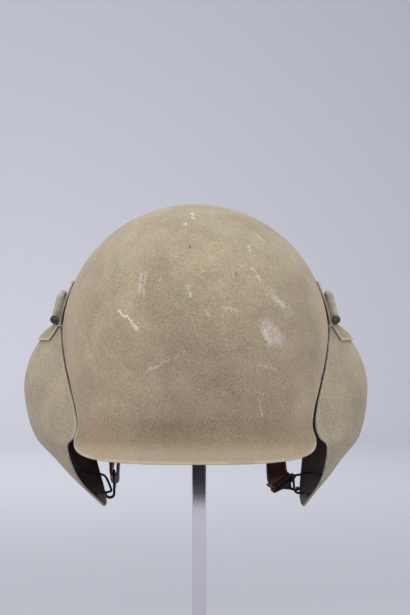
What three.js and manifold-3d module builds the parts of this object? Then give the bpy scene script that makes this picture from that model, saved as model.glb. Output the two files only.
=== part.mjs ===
// A steel flak helmet with hinged cheek plates and a leather chin strap, on a plain display stand.
// Millimetres, +Z up, +Y is where the wearer looks, +X is the wearer's right.
// The origin is the middle of the stand's foot.

import * as THREE from 'three';
import Module from 'manifold-3d';
import { mergeVertices } from 'three/addons/utils/BufferGeometryUtils.js';

const wasm = await Module();
wasm.setup();

// Driving dimensions

const HELMET_X = -3;          // the helmet sits a little to one side on its stand
const WALL = 1.7;             // painted steel of dome and cheek plates
const GAP = 0.3;              // between pieces that touch
const CROWN_Z = 402.5;
const DOME_RADIUS = 108.5;    // the dome is round seen from behind
const BELT_Z = CROWN_Z - DOME_RADIUS;
const SECTION_POWER = 2.25;   // a plan section is a little fuller than an ellipse
const REAR_RIM_Z = 199.3;
const BROW_Z = 250;
const PLATE_TOP_Z = 303.1;
const PLATE_TIP_Z = 151;
const PLATE_DRIFT = 7;        // both plates hang towards +X, most at the tip

const POST_SIDE = 11.5;
const BASE_SIDE = 170;
const BASE_THICK = 8;
const PAD_RADIUS = 32;
const PAD_THICK = 12;
const PAD_GAP = 0.7;          // under the crown, where the dome is faceted

const PIN_X = 113.6;
const PIN_Z = 308.3;
const HINGE_Y = -1;           // middle of the hinge
const PIN_RADIUS = 1.5;
const BORE_RADIUS = 1.8;
const KNUCKLE_RADIUS = 3.4;
const LEAF_WIDTH = 40;
const LOWER_LEAF_INSET = 6.5;  // the lower leaf is narrower by this much on each side
const LEAF_THICK = 1.7;
const LEAF_TOP_Z = 340;
const LEAF_FOOT_Z = 290.5;
const BAIL_RADIUS = 2.7;
const BAIL_HEIGHT = 20.5;     // from the pin to the middle of the top bar
const BAIL_LEAN = 5;          // the top bar lies this much nearer to the dome
const PIN_HEAD_RADIUS = 3.3;
const PIN_HEAD_THICK = 1.4;
const PIN_SIDES = 14;

const LOOP_RADIUS = 1;
const LOOP_TOP_Z = 177;
const LOOP_FOOT_Z = 160.5;
const STRAP_WIDTH = 19;
const STRAP_THICK = 2;
const HOOK_THICK = 2;
const HOOK_LENGTH = 15.5;     // from the wire to the bar that carries the strap
const HOOK_BEND = 2.5;        // inner radius of the bend round the wire
const HOOK_TONGUE = 2;

// Half-width and depths of the dome below its widest level
const DOME_ROWS = [
  { z: 294, side: 108.5, rear: 124, front: 122 },
  { z: 276, side: 107.6, rear: 123.4, front: 121.2 },
  { z: 260, side: 106.4, rear: 121.8, front: 120.8 },
  { z: 250, side: 106, rear: 120.3, front: 123 },
  { z: 236, side: 105.9, rear: 117.5, front: 124 },
  { z: 225, side: 107.5, rear: 115, front: 124 },
  { z: 214, side: 111.6, rear: 116.2, front: 124 },
  { z: 205, side: 115, rear: 120, front: 124 },
  { z: 196, side: 117.5, rear: 124.5, front: 124 },
];

// A cheek plate by height: its two edges and the summit of its bulge
const PLATE_ROWS = [
  { z: 303.1, rearY: -16, rearX: 109.3, frontY: 17, frontX: 109.2, outY: 12, outX: 114.5 },
  { z: 299, rearY: -20.2, rearX: 108.8, frontY: 25, frontX: 108, outY: 14, outX: 120.5 },
  { z: 290, rearY: -27, rearX: 107.6, frontY: 35, frontX: 106.3, outY: 15, outX: 129 },
  { z: 280, rearY: -33.7, rearX: 106, frontY: 44.3, frontX: 103.6, outY: 14, outX: 135 },
  { z: 268, rearY: -42, rearX: 103.5, frontY: 54.5, frontX: 99.7, outY: 12, outX: 139.3 },
  { z: 254, rearY: -51.4, rearX: 99.7, frontY: 65.5, frontX: 94.2, outY: 9, outX: 141.2 },
  { z: 240, rearY: -59, rearX: 96.1, frontY: 71, frontX: 91.6, outY: 8, outX: 140.2 },
  { z: 226, rearY: -64.4, rearX: 94.2, frontY: 71, frontX: 91, outY: 7, outX: 137.6 },
  { z: 216, rearY: -65.6, rearX: 96.8, frontY: 70.3, frontX: 90.5, outY: 7, outX: 134.4 },
  { z: 210.5, rearY: -62.6, rearX: 102, frontY: 69.6, frontX: 90.3, outY: 8, outX: 131.8 },
  { z: 203, rearY: -55, rearX: 102.8, frontY: 68, frontX: 90, outY: 10, outX: 126 },
  { z: 194, rearY: -45, rearX: 101.8, frontY: 65.2, frontX: 89, outY: 12, outX: 118 },
  { z: 184, rearY: -30, rearX: 100, frontY: 61.6, frontX: 87.3, outY: 16, outX: 110.5 },
  { z: 174.5, rearY: -14, rearX: 97, frontY: 58, frontX: 85.3, outY: 22, outX: 103 },
  { z: 165, rearY: 5, rearX: 92.3, frontY: 53.8, frontX: 83.5, outY: 30, outX: 94.6 },
  { z: 158, rearY: 21.5, rearX: 88.2, frontY: 49.8, frontX: 82.6, outY: 36, outX: 88.6 },
  { z: 153, rearY: 33, rearX: 85.4, frontY: 46.5, frontX: 82.8, outY: 40, outX: 85.4 },
  { z: 151, rearY: 38.5, rearX: 84, frontY: 44, frontX: 83.2, outY: 41.3, outX: 83.9 },
];

// Wire loops turn in from straight ahead and stand out by bowTop at the top and bowFoot at the foot.
// The left hook stands upright on the foot of its loop. The right one leans away from the upright of
// its loop and is rolled over about its own length. tailSide is the side on which the strap ends.
const SIDES = [
  {
    name: 'left', sign: -1, loopTurn: 34, bowTop: 5, bowFoot: 13.5,
    hookAlong: 11, hookZ: 160.5, hookTurn: 0, hookRise: 62, hookRoll: 0, tailSide: 1,
  },
  {
    name: 'right', sign: 1, loopTurn: 53, bowTop: 10, bowFoot: 8,
    hookAlong: 8.6, hookZ: 165.5, hookTurn: 25, hookRise: 14, hookRoll: 54, tailSide: -1,
  },
];

// Colours, roughness and metalness as the photograph shows them
const PAINT_DOME = '#9c8a70';
const PAINT_PLATE = '#9a8a70';
const PAINT_HINGE = '#8f8470';
const surface = (color, roughness, metalness) => (
  new THREE.MeshStandardMaterial({ color, roughness, metalness })
);
const paint = (color) => surface(color, 0.9, 0);
const blackSteel = () => surface('#1d1a1a', 0.45, 0.8);

// Small helpers

const clamp01 = (value) => Math.min(1, Math.max(0, value));
const mix = (a, b, t) => a + (b - a) * t;
const ease = (t) => 0.5 - 0.5 * Math.cos(t * Math.PI);

// Reads one column of a table at height z, with a smooth curve through its rows
function columnAt(rows, key, z) {
  let i = rows.findIndex((row, n) => n > 0 && z >= row.z);
  if (i < 0) i = rows.length - 1;
  const at = (n) => rows[Math.min(rows.length - 1, Math.max(0, n))];
  const [a, b, c, d] = [at(i - 2), at(i - 1), at(i), at(i + 1)];
  const t = clamp01((b.z - z) / (b.z - c.z));
  const slope = (p, q) => (p.z === q.z ? 0 : (q[key] - p[key]) / (p.z - q.z));
  const span = b.z - c.z;
  const m0 = i - 1 === 0 ? slope(b, c) * span : slope(a, c) * span;
  const m1 = i === rows.length - 1 ? slope(b, c) * span : slope(b, d) * span;
  const t2 = t * t;
  const t3 = t2 * t;
  return (2 * t3 - 3 * t2 + 1) * b[key] + (t3 - 2 * t2 + t) * m0
    + (3 * t2 - 2 * t3) * c[key] + (t3 - t2) * m1;
}

// Builds a geometry from a list of points and a list of triangles
function geometryOf(points, triangles) {
  const geometry = new THREE.BufferGeometry();
  const numbers = points.flatMap((p) => [p.x, p.y, p.z]);
  geometry.setAttribute('position', new THREE.Float32BufferAttribute(numbers, 3));
  geometry.setIndex(triangles.flat());
  return geometry;
}

function solidOf(geometry) {
  const bare = geometry.clone();
  bare.deleteAttribute('normal');
  bare.deleteAttribute('uv');
  const merged = mergeVertices(bare, 1e-4);
  return new wasm.Manifold(new wasm.Mesh({
    numProp: 3,
    vertProperties: new Float32Array(merged.attributes.position.array),
    triVerts: new Uint32Array(merged.index.array),
  }));
}

function geometryFromSolid(solid) {
  const mesh = solid.getMesh();
  const geometry = new THREE.BufferGeometry();
  geometry.setAttribute('position', new THREE.BufferAttribute(new Float32Array(mesh.vertProperties), 3));
  geometry.setIndex(new THREE.BufferAttribute(new Uint32Array(mesh.triVerts), 1));
  return geometry;
}

const join = (...parts) => geometryFromSolid(parts.map(solidOf).reduce((a, b) => a.add(b)));
const cut = (body, ...tools) => geometryFromSolid(
  tools.map(solidOf).reduce((a, b) => a.subtract(b), solidOf(body)),
);

function meshOf(name, geometry, material) {
  const mesh = new THREE.Mesh(geometry, material);
  mesh.name = name;
  return mesh;
}

// A closed slab over a grid of points: front and back faces with a wall round the edge
function slab(front, back) {
  const rows = front.length;
  const columns = front[0].length;
  const points = [...front.flat(), ...back.flat()];
  const at = (layer, r, c) => layer * rows * columns + r * columns + c;
  const triangles = [];
  const quad = (a, b, c, d) => triangles.push([a, b, c], [a, c, d]);
  for (let r = 0; r < rows - 1; r++) {
    for (let c = 0; c < columns - 1; c++) {
      quad(at(0, r, c), at(0, r + 1, c), at(0, r + 1, c + 1), at(0, r, c + 1));
      quad(at(1, r, c), at(1, r, c + 1), at(1, r + 1, c + 1), at(1, r + 1, c));
    }
  }
  for (let r = 0; r < rows - 1; r++) {
    quad(at(0, r, 0), at(1, r, 0), at(1, r + 1, 0), at(0, r + 1, 0));
    const end = columns - 1;
    quad(at(0, r + 1, end), at(1, r + 1, end), at(1, r, end), at(0, r, end));
  }
  for (let c = 0; c < columns - 1; c++) {
    quad(at(0, 0, c + 1), at(1, 0, c + 1), at(1, 0, c), at(0, 0, c));
    const end = rows - 1;
    quad(at(0, end, c), at(1, end, c), at(1, end, c + 1), at(0, end, c + 1));
  }
  return geometryOf(points, triangles);
}

// Turns a closed mesh the right way round if its faces point inwards
function facingOut(geometry) {
  const p = geometry.attributes.position;
  const index = geometry.index.array;
  const [a, b, c] = [new THREE.Vector3(), new THREE.Vector3(), new THREE.Vector3()];
  let volume = 0;
  for (let i = 0; i < index.length; i += 3) {
    a.fromBufferAttribute(p, index[i]);
    b.fromBufferAttribute(p, index[i + 1]);
    c.fromBufferAttribute(p, index[i + 2]);
    volume += a.dot(b.cross(c));
  }
  if (volume < 0) {
    for (let i = 0; i < index.length; i += 3) [index[i + 1], index[i + 2]] = [index[i + 2], index[i + 1]];
  }
  return geometry;
}

// A round rod between two points
function rod(from, to, radius, sides = 12) {
  const axis = to.clone().sub(from);
  const geometry = new THREE.CylinderGeometry(radius, radius, axis.length(), sides);
  const turn = new THREE.Quaternion().setFromUnitVectors(new THREE.Vector3(0, 1, 0), axis.normalize());
  geometry.applyQuaternion(turn);
  const middle = from.clone().add(to).multiplyScalar(0.5);
  return geometry.translate(middle.x, middle.y, middle.z);
}

// A round wire along a smooth path
function wire(points, radius, steps, sides) {
  const circle = new THREE.Shape();
  for (let k = 0; k < sides; k++) {
    const angle = (k / sides) * Math.PI * 2;
    const place = [radius * Math.cos(angle), radius * Math.sin(angle)];
    if (k === 0) circle.moveTo(...place);
    else circle.lineTo(...place);
  }
  const path = new THREE.CatmullRomCurve3(points, false, 'centripetal');
  return new THREE.ExtrudeGeometry(circle, { steps, bevelEnabled: false, extrudePath: path });
}

// Dome

const TAU = Math.PI * 2;

// The dome's three reaches at height z, for a surface that lies `inset` inside the outer one
function domeReach(z, inset = 0) {
  if (z >= BELT_Z) {
    const share = Math.sqrt(Math.max(0, 1 - ((z - BELT_Z) / (DOME_RADIUS - inset)) ** 2));
    const belt = DOME_ROWS[0];
    return {
      side: (belt.side - inset) * share,
      rear: (belt.rear - inset) * share,
      front: (belt.front - inset) * share,
    };
  }
  return {
    side: columnAt(DOME_ROWS, 'side', z) - inset,
    rear: columnAt(DOME_ROWS, 'rear', z) - inset,
    front: columnAt(DOME_ROWS, 'front', z) - inset,
  };
}

// A point on the dome: angle 0 is +X, a quarter turn is +Y
function domePoint(angle, z, inset = 0) {
  const reach = domeReach(z, inset);
  const [cosine, sine] = [Math.cos(angle), Math.sin(angle)];
  const power = z >= BELT_Z ? mix(SECTION_POWER, 2, clamp01((z - BELT_Z) / DOME_RADIUS)) : SECTION_POWER;
  const depth = sine >= 0 ? reach.front : reach.rear;
  return new THREE.Vector3(
    reach.side * Math.sign(cosine) * Math.abs(cosine) ** (2 / power),
    depth * Math.sign(sine) * Math.abs(sine) ** (2 / power),
    z,
  );
}

// How far out the dome's side lies at depth y and height z
function domeSide(y, z, inset = 0) {
  const reach = domeReach(z, inset);
  const depth = y >= 0 ? reach.front : reach.rear;
  const power = z >= BELT_Z ? mix(SECTION_POWER, 2, clamp01((z - BELT_Z) / DOME_RADIUS)) : SECTION_POWER;
  return reach.side * (1 - Math.min(1, Math.abs(y) / depth) ** power) ** (1 / power);
}

const DOME_SECTORS = 48;
const CAP_RINGS = 11;
const SKIRT_RINGS = 9;

function domeBody(inset, floorZ) {
  const radius = DOME_RADIUS - inset;
  const levels = [];
  for (let k = 1; k <= CAP_RINGS; k++) {
    levels.push(BELT_Z + radius * Math.cos((k / CAP_RINGS) * Math.PI / 2));
  }
  for (let k = 1; k <= SKIRT_RINGS; k++) levels.push(mix(BELT_Z, floorZ, k / SKIRT_RINGS));
  const points = [new THREE.Vector3(0, 0, BELT_Z + radius)];
  for (const z of levels) {
    for (let k = 0; k < DOME_SECTORS; k++) points.push(domePoint((k / DOME_SECTORS) * TAU, z, inset));
  }
  points.push(new THREE.Vector3(0, 0, floorZ));
  const ring = (r, k) => 1 + r * DOME_SECTORS + (k % DOME_SECTORS);
  const last = levels.length - 1;
  const triangles = [];
  for (let k = 0; k < DOME_SECTORS; k++) {
    triangles.push([0, ring(0, k), ring(0, k + 1)]);
    for (let r = 0; r < last; r++) {
      triangles.push([ring(r, k), ring(r + 1, k), ring(r + 1, k + 1)]);
      triangles.push([ring(r, k), ring(r + 1, k + 1), ring(r, k + 1)]);
    }
    triangles.push([ring(last, k + 1), ring(last, k), points.length - 1]);
  }
  return facingOut(geometryOf(points, triangles));
}

// What is cut off below the edge of the dome, seen from the side: neck rim, ear arch and brow
function edgeCutter() {
  const outline = new THREE.Shape();
  const below = REAR_RIM_Z - 20;
  outline.moveTo(-150, below);
  outline.lineTo(-150, REAR_RIM_Z);
  outline.lineTo(-118, REAR_RIM_Z);
  outline.bezierCurveTo(-98, REAR_RIM_Z + 0.9, -70, 203, -66.6, 217);
  outline.splineThru([
    new THREE.Vector2(-65.9, 225), new THREE.Vector2(-60.6, 240), new THREE.Vector2(-52.8, 254),
    new THREE.Vector2(-35.2, 280), new THREE.Vector2(-23.5, 295),
  ]);
  outline.bezierCurveTo(-19.5, 300.5, -16, 304.5, -9, 304.5);
  outline.lineTo(11, 304.5);
  outline.bezierCurveTo(20, 304.5, 26, 301, 31, 296);
  outline.splineThru([new THREE.Vector2(45.8, 280), new THREE.Vector2(59, 264)]);
  outline.bezierCurveTo(66, 255.5, 72, BROW_Z, 84, BROW_Z);
  outline.lineTo(150, BROW_Z);
  outline.lineTo(150, below);
  const width = 300;
  const geometry = new THREE.ExtrudeGeometry(outline, { depth: width, bevelEnabled: false, curveSegments: 6 });
  // The outline's own x becomes y, its y becomes z and the extrusion runs along x
  const turn = new THREE.Matrix4().makeBasis(
    new THREE.Vector3(0, 1, 0), new THREE.Vector3(0, 0, 1), new THREE.Vector3(1, 0, 0),
  );
  return geometry.applyMatrix4(turn).translate(-width / 2, 0, 0);
}

function helmetShell() {
  const floorZ = REAR_RIM_Z - 3;
  const geometry = cut(domeBody(0, floorZ), domeBody(WALL, floorZ - 2), edgeCutter());
  return meshOf('helmet_shell', geometry, paint(PAINT_DOME));
}

// Cheek plates

const plateDrift = (z) => PLATE_DRIFT * clamp01((PLATE_TOP_Z - z) / (PLATE_TOP_Z - PLATE_TIP_Z)) ** 3;
const BULGE_POWER = 0.9;

// A point on a cheek plate's outer face, `share` of the way from its rear edge to its front edge
function platePoint(sign, share, z) {
  const row = (key) => columnAt(PLATE_ROWS, key, z);
  const y = mix(row('rearY'), row('frontY'), share);
  const behind = y < row('outY');
  const edgeY = behind ? row('rearY') : row('frontY');
  const edgeX = behind ? row('rearX') : row('frontX');
  const run = clamp01((y - edgeY) / (row('outY') - edgeY));
  const x = mix(edgeX, row('outX'), Math.sin(run * Math.PI / 2) ** BULGE_POWER);
  return new THREE.Vector3(sign * x + plateDrift(z), y, z);
}

// The same point moved along the face's normal: positive is outwards
function plateOffset(sign, share, z, offset) {
  const step = 0.02;
  const zStep = 1;
  const s0 = Math.max(0, share - step);
  const s1 = Math.min(1, share + step);
  const z0 = Math.max(PLATE_TIP_Z, z - zStep);
  const z1 = Math.min(PLATE_TOP_Z, z + zStep);
  const along = platePoint(sign, s1, z).sub(platePoint(sign, s0, z));
  const up = platePoint(sign, share, z1).sub(platePoint(sign, share, z0));
  const normal = along.cross(up).multiplyScalar(sign).normalize();
  return platePoint(sign, share, z).addScaledVector(normal, offset);
}

const PLATE_COLUMNS = 15;
const PLATE_LEVELS = 20;

function cheekPlate(side) {
  const front = [];
  const back = [];
  for (let r = 0; r <= PLATE_LEVELS; r++) {
    // Levels lie closer together towards the top and the tip
    const level = mix(r / PLATE_LEVELS, ease(r / PLATE_LEVELS), 0.6);
    const z = mix(PLATE_TOP_Z, PLATE_TIP_Z, level);
    const shares = Array.from({ length: PLATE_COLUMNS + 1 }, (_, c) => ease(c / PLATE_COLUMNS));
    front.push(shares.map((share) => platePoint(side.sign, share, z)));
    back.push(shares.map((share) => plateOffset(side.sign, share, z, -WALL)));
  }
  return meshOf(`cheek_plate_${side.name}`, facingOut(slab(front, back)), paint(PAINT_PLATE));
}

// Hinges

// A tube along y round the hinge pin
function knuckle(sign, fromY, toY, radius) {
  const profile = [
    [BORE_RADIUS, fromY], [radius, fromY], [radius, toY], [BORE_RADIUS, toY], [BORE_RADIUS, fromY],
  ];
  const geometry = new THREE.LatheGeometry(profile.map(([r, y]) => new THREE.Vector2(r, y)), PIN_SIDES);
  return geometry.translate(sign * PIN_X, 0, PIN_Z);
}

const KNUCKLE_SHARE = 0.3;    // each outer knuckle's share of the hinge's width
const HINGE_REAR = HINGE_Y - LEAF_WIDTH / 2;
const HINGE_FRONT = HINGE_Y + LEAF_WIDTH / 2;
const OUTER_KNUCKLE = LEAF_WIDTH * KNUCKLE_SHARE;
const EYE_LENGTH = 5.8;

function shellLeaf(side) {
  const footZ = PLATE_TOP_Z + 0.6;
  const levels = 8;
  const stations = 5;
  const [front, back] = [[], []];
  for (let r = 0; r <= levels; r++) {
    const z = mix(LEAF_TOP_Z, footZ, r / levels);
    // The leaf leaves the dome a little as it nears the knuckles
    const lift = GAP + 1.3 * (r / levels) ** 2;
    const row = (offset) => Array.from({ length: stations + 1 }, (_, c) => {
      const y = mix(HINGE_REAR, HINGE_FRONT, c / stations);
      return new THREE.Vector3(side.sign * (domeSide(y, z, -offset)), y, z);
    });
    front.push(row(lift + LEAF_THICK));
    back.push(row(lift));
  }
  const leaf = facingOut(slab(front, back));
  const rearKnuckle = knuckle(side.sign, HINGE_REAR, HINGE_REAR + OUTER_KNUCKLE, KNUCKLE_RADIUS);
  const frontKnuckle = knuckle(side.sign, HINGE_FRONT - OUTER_KNUCKLE, HINGE_FRONT, KNUCKLE_RADIUS);
  const channel = rod(
    new THREE.Vector3(side.sign * PIN_X, HINGE_REAR - 1, PIN_Z),
    new THREE.Vector3(side.sign * PIN_X, HINGE_FRONT + 1, PIN_Z), BORE_RADIUS, PIN_SIDES,
  );
  // Room for the other leaf's knuckle
  const room = rod(
    new THREE.Vector3(side.sign * PIN_X, HINGE_REAR + OUTER_KNUCKLE, PIN_Z),
    new THREE.Vector3(side.sign * PIN_X, HINGE_FRONT - OUTER_KNUCKLE, PIN_Z), KNUCKLE_RADIUS + GAP, PIN_SIDES,
  );
  const whole = join(leaf, rearKnuckle, frontKnuckle);
  return meshOf(`hinge_shell_leaf_${side.name}`, cut(whole, channel, room), paint(PAINT_HINGE));
}

function plateLeaf(side) {
  const topZ = PLATE_TOP_Z - 0.2;
  const levels = 6;
  const stations = 7;
  const clear = GAP + 0.35;
  const [front, back] = [[], []];
  const shareAt = (y, z) => {
    const rear = columnAt(PLATE_ROWS, 'rearY', z);
    return (y - rear) / (columnAt(PLATE_ROWS, 'frontY', z) - rear);
  };
  for (let r = 0; r <= levels; r++) {
    const z = mix(topZ, LEAF_FOOT_Z, r / levels);
    const row = (offset) => Array.from({ length: stations + 1 }, (_, c) => {
      const y = mix(HINGE_REAR + LOWER_LEAF_INSET, HINGE_FRONT - LOWER_LEAF_INSET, c / stations);
      return plateOffset(side.sign, clamp01(shareAt(y, z)), z, offset);
    });
    front.push(row(clear + LEAF_THICK));
    back.push(row(clear));
  }
  const middle = knuckle(
    side.sign, HINGE_REAR + OUTER_KNUCKLE + GAP, HINGE_FRONT - OUTER_KNUCKLE - GAP, KNUCKLE_RADIUS,
  );
  const leaf = facingOut(slab(front, back));
  return [leaf, middle];
}

function hinge(side) {
  const { sign, name } = side;
  const pinAt = (y) => new THREE.Vector3(sign * PIN_X, y, PIN_Z);
  const outerY = LEAF_WIDTH / 2 + GAP + EYE_LENGTH + GAP;
  const rearHeadY = HINGE_Y - outerY;
  const frontHeadY = HINGE_Y + outerY;
  const pin = join(
    rod(pinAt(rearHeadY - PIN_HEAD_THICK / 2), pinAt(frontHeadY + PIN_HEAD_THICK / 2), PIN_RADIUS, 10),
    rod(pinAt(rearHeadY - PIN_HEAD_THICK), pinAt(rearHeadY), PIN_HEAD_RADIUS, PIN_SIDES),
    rod(pinAt(frontHeadY), pinAt(frontHeadY + PIN_HEAD_THICK), PIN_HEAD_RADIUS, PIN_SIDES),
  );

  // The bail: two legs up from eyes on the pin, and a bar across their tops
  const legY = LEAF_WIDTH / 2 + GAP + EYE_LENGTH / 2;
  const topX = PIN_X - BAIL_LEAN;
  const topZ = PIN_Z + BAIL_HEIGHT;
  const corner = 6;
  const bailPoint = (share, y) => (
    new THREE.Vector3(sign * mix(PIN_X, topX, share), HINGE_Y + y, mix(PIN_Z, topZ, share))
  );
  const foot = 0.1;
  const halfBend = 1 - corner / BAIL_HEIGHT;
  const path = [
    bailPoint(foot, -legY),
    bailPoint(halfBend, -legY),
    bailPoint(0.93, -legY + 1.5),
    bailPoint(1, -legY + corner),
    bailPoint(1, legY - corner),
    bailPoint(0.93, legY - 1.5),
    bailPoint(halfBend, legY),
    bailPoint(foot, legY),
  ];
  const eye = (y) => knuckle(
    sign, HINGE_Y + y - EYE_LENGTH / 2, HINGE_Y + y + EYE_LENGTH / 2, KNUCKLE_RADIUS - 0.2,
  );
  const boreFrom = pinAt(HINGE_Y - legY - EYE_LENGTH);
  const bore = rod(boreFrom, pinAt(HINGE_Y + legY + EYE_LENGTH), BORE_RADIUS, PIN_SIDES);
  const bail = cut(join(wire(path, BAIL_RADIUS, 20, 8), eye(-legY), eye(legY)), bore);

  const bridge = new THREE.BoxGeometry(3.4, LEAF_WIDTH - 2 * OUTER_KNUCKLE - 2 * GAP, 2.4)
    .translate(sign * (PIN_X + 0.7), HINGE_Y, PIN_Z - KNUCKLE_RADIUS - 0.1);
  const lowerLeaf = cut(join(...plateLeaf(side), bridge), bore);

  return [
    shellLeaf(side),
    meshOf(`hinge_plate_leaf_${name}`, lowerLeaf, paint(PAINT_HINGE)),
    meshOf(`hinge_pin_${name}`, pin, surface('#4a453c', 0.6, 0.6)),
    meshOf(`hinge_bail_${name}`, bail, paint('#8b8772')),
  ];
}

// Strap loops and hooks

// A place just inside a cheek plate
function insidePlate(sign, y, z, away) {
  const rear = columnAt(PLATE_ROWS, 'rearY', z);
  const share = clamp01((y - rear) / (columnAt(PLATE_ROWS, 'frontY', z) - rear));
  return plateOffset(sign, share, z, -WALL - away);
}

const UP = new THREE.Vector3(0, 0, 1);

// A direction in plan, turned in from straight ahead
function inward(side, degrees) {
  const turn = THREE.MathUtils.degToRad(degrees);
  return new THREE.Vector3(-side.sign * Math.sin(turn), Math.cos(turn), 0);
}

const LOOP_CLEAR = LOOP_RADIUS + GAP + 0.4;
const LOOP_ROOT_Y = 45.5;

function strapLoop(side) {
  const reach = inward(side, side.loopTurn);
  const { bowTop, bowFoot } = side;
  const bowAt = (z) => mix(bowFoot, bowTop, (z - LOOP_FOOT_Z) / (LOOP_TOP_Z - LOOP_FOOT_Z));
  const foot = insidePlate(side.sign, LOOP_ROOT_Y, LOOP_FOOT_Z, LOOP_CLEAR);
  const head = foot.clone().setZ(LOOP_TOP_Z);
  const out = (from, distance, rise = 0) => (
    from.clone().addScaledVector(reach, distance).addScaledVector(UP, rise)
  );
  const path = [
    insidePlate(side.sign, 26, LOOP_FOOT_Z, LOOP_CLEAR),
    insidePlate(side.sign, 38, LOOP_FOOT_Z, LOOP_CLEAR),
    foot,
    out(foot, bowFoot - 3),
    out(foot, bowFoot - 0.8, 0.8),
    out(foot, bowAt(LOOP_FOOT_Z + 3.5), 3.5),
    out(head, bowAt(LOOP_TOP_Z - 4.5), -4.5),
    out(head, bowTop - 1, -1.2),
    out(head, bowTop / 2 - 1),
    insidePlate(side.sign, LOOP_ROOT_Y + 3, LOOP_TOP_Z, LOOP_CLEAR + 1),
    insidePlate(side.sign, 41, LOOP_TOP_Z, LOOP_CLEAR),
    insidePlate(side.sign, 30, LOOP_TOP_Z, LOOP_CLEAR),
  ];
  return meshOf(`strap_loop_${side.name}`, wire(path, LOOP_RADIUS, 32, 6), blackSteel());
}

// The hook lies in its own plane: w across the strap, d from the wire up to the bar, n out of the plane
function hookAxes(side) {
  const reach = inward(side, side.hookTurn);
  const end = insidePlate(side.sign, LOOP_ROOT_Y, LOOP_FOOT_Z, LOOP_CLEAR);
  end.addScaledVector(inward(side, side.loopTurn), side.hookAlong).setZ(side.hookZ);
  const rise = THREE.MathUtils.degToRad(side.hookRise);
  const d = reach.clone().multiplyScalar(Math.cos(rise)).addScaledVector(UP, Math.sin(rise));
  const w = UP.clone().multiplyScalar(Math.cos(rise)).addScaledVector(reach, -Math.sin(rise));
  w.multiplyScalar(side.sign);
  const n = new THREE.Vector3().crossVectors(w, d);
  const shank = end.clone().addScaledVector(n, HOOK_BEND + HOOK_THICK / 2);
  const bar = shank.clone().addScaledVector(d, HOOK_LENGTH);
  const roll = side.sign * THREE.MathUtils.degToRad(side.hookRoll);
  const facing = n.clone().applyAxisAngle(d, roll);
  return { shank, bar, d, w, n, facing, roll };
}

const WINDOW_WIDTH = STRAP_WIDTH + 1;
const WINDOW_HEIGHT = 3.4;
const FRAME_BAR = 2;

function strapHook(side) {
  const { shank: origin, d, w, n, roll } = hookAxes(side);
  const halfWide = WINDOW_WIDTH / 2 + FRAME_BAR;
  const barTop = HOOK_LENGTH + FRAME_BAR;
  const neck = HOOK_LENGTH - WINDOW_HEIGHT - FRAME_BAR * 1.6;
  const outline = new THREE.Shape();
  outline.moveTo(-HOOK_TONGUE / 2, 0);
  outline.lineTo(HOOK_TONGUE / 2, 0);
  outline.lineTo(4.5, neck - 1);
  outline.lineTo(halfWide, neck + 1.6);
  outline.lineTo(halfWide, barTop - 1);
  outline.lineTo(halfWide - 1, barTop);
  outline.lineTo(-halfWide + 1, barTop);
  outline.lineTo(-halfWide, barTop - 1);
  outline.lineTo(-halfWide, neck + 1.6);
  outline.lineTo(-4.5, neck - 1);
  outline.closePath();
  const window = new THREE.Path();
  window.moveTo(-WINDOW_WIDTH / 2, HOOK_LENGTH - WINDOW_HEIGHT);
  window.lineTo(-WINDOW_WIDTH / 2, HOOK_LENGTH);
  window.lineTo(WINDOW_WIDTH / 2, HOOK_LENGTH);
  window.lineTo(WINDOW_WIDTH / 2, HOOK_LENGTH - WINDOW_HEIGHT);
  window.closePath();
  outline.holes.push(window);
  const frame = new THREE.ExtrudeGeometry(outline, { depth: HOOK_THICK, bevelEnabled: false });
  frame.translate(0, 0, -HOOK_THICK / 2).rotateY(roll);

  // The bend goes round the loop's wire
  const bend = new THREE.Shape();
  const outer = HOOK_BEND + HOOK_THICK;
  const sweep = Math.PI * 1.15;
  bend.absarc(0, 0, outer, 0, -sweep, true);
  bend.absarc(0, 0, HOOK_BEND, -sweep, 0, false);
  bend.closePath();
  const curl = new THREE.ExtrudeGeometry(bend, {
    depth: HOOK_TONGUE, bevelEnabled: false, curveSegments: 10,
  });
  // Its own x becomes n and its own y becomes d
  const [alongY, againstX] = [new THREE.Vector3(0, 1, 0), new THREE.Vector3(-1, 0, 0)];
  curl.applyMatrix4(new THREE.Matrix4().makeBasis(UP, alongY, againstX));
  curl.translate(HOOK_TONGUE / 2, 0, -(HOOK_BEND + HOOK_THICK / 2));
  const shank = new THREE.BoxGeometry(HOOK_TONGUE, 3, HOOK_THICK).translate(0, 0.5, 0);
  const geometry = join(frame, curl, shank);
  // The middle of the bend, not the shank, lies on the wire
  geometry.applyMatrix4(new THREE.Matrix4().makeBasis(w, d, n));
  geometry.translate(origin.x, origin.y, origin.z);
  return meshOf(`strap_hook_${side.name}`, geometry, blackSteel());
}

// Chin strap

// Where the strap lies on the dome, on one side: angle from the front's middle and height
const STRAP_REST = [
  { angle: 35.5, z: 244 },
  { angle: 32.5, z: 253 },
  { angle: 24, z: 264 },
  { angle: 12, z: 271.5 },
  { angle: 0, z: 274 },
];
const STRAP_CLEAR = 2.2;      // the strap's middle above the dome

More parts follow.
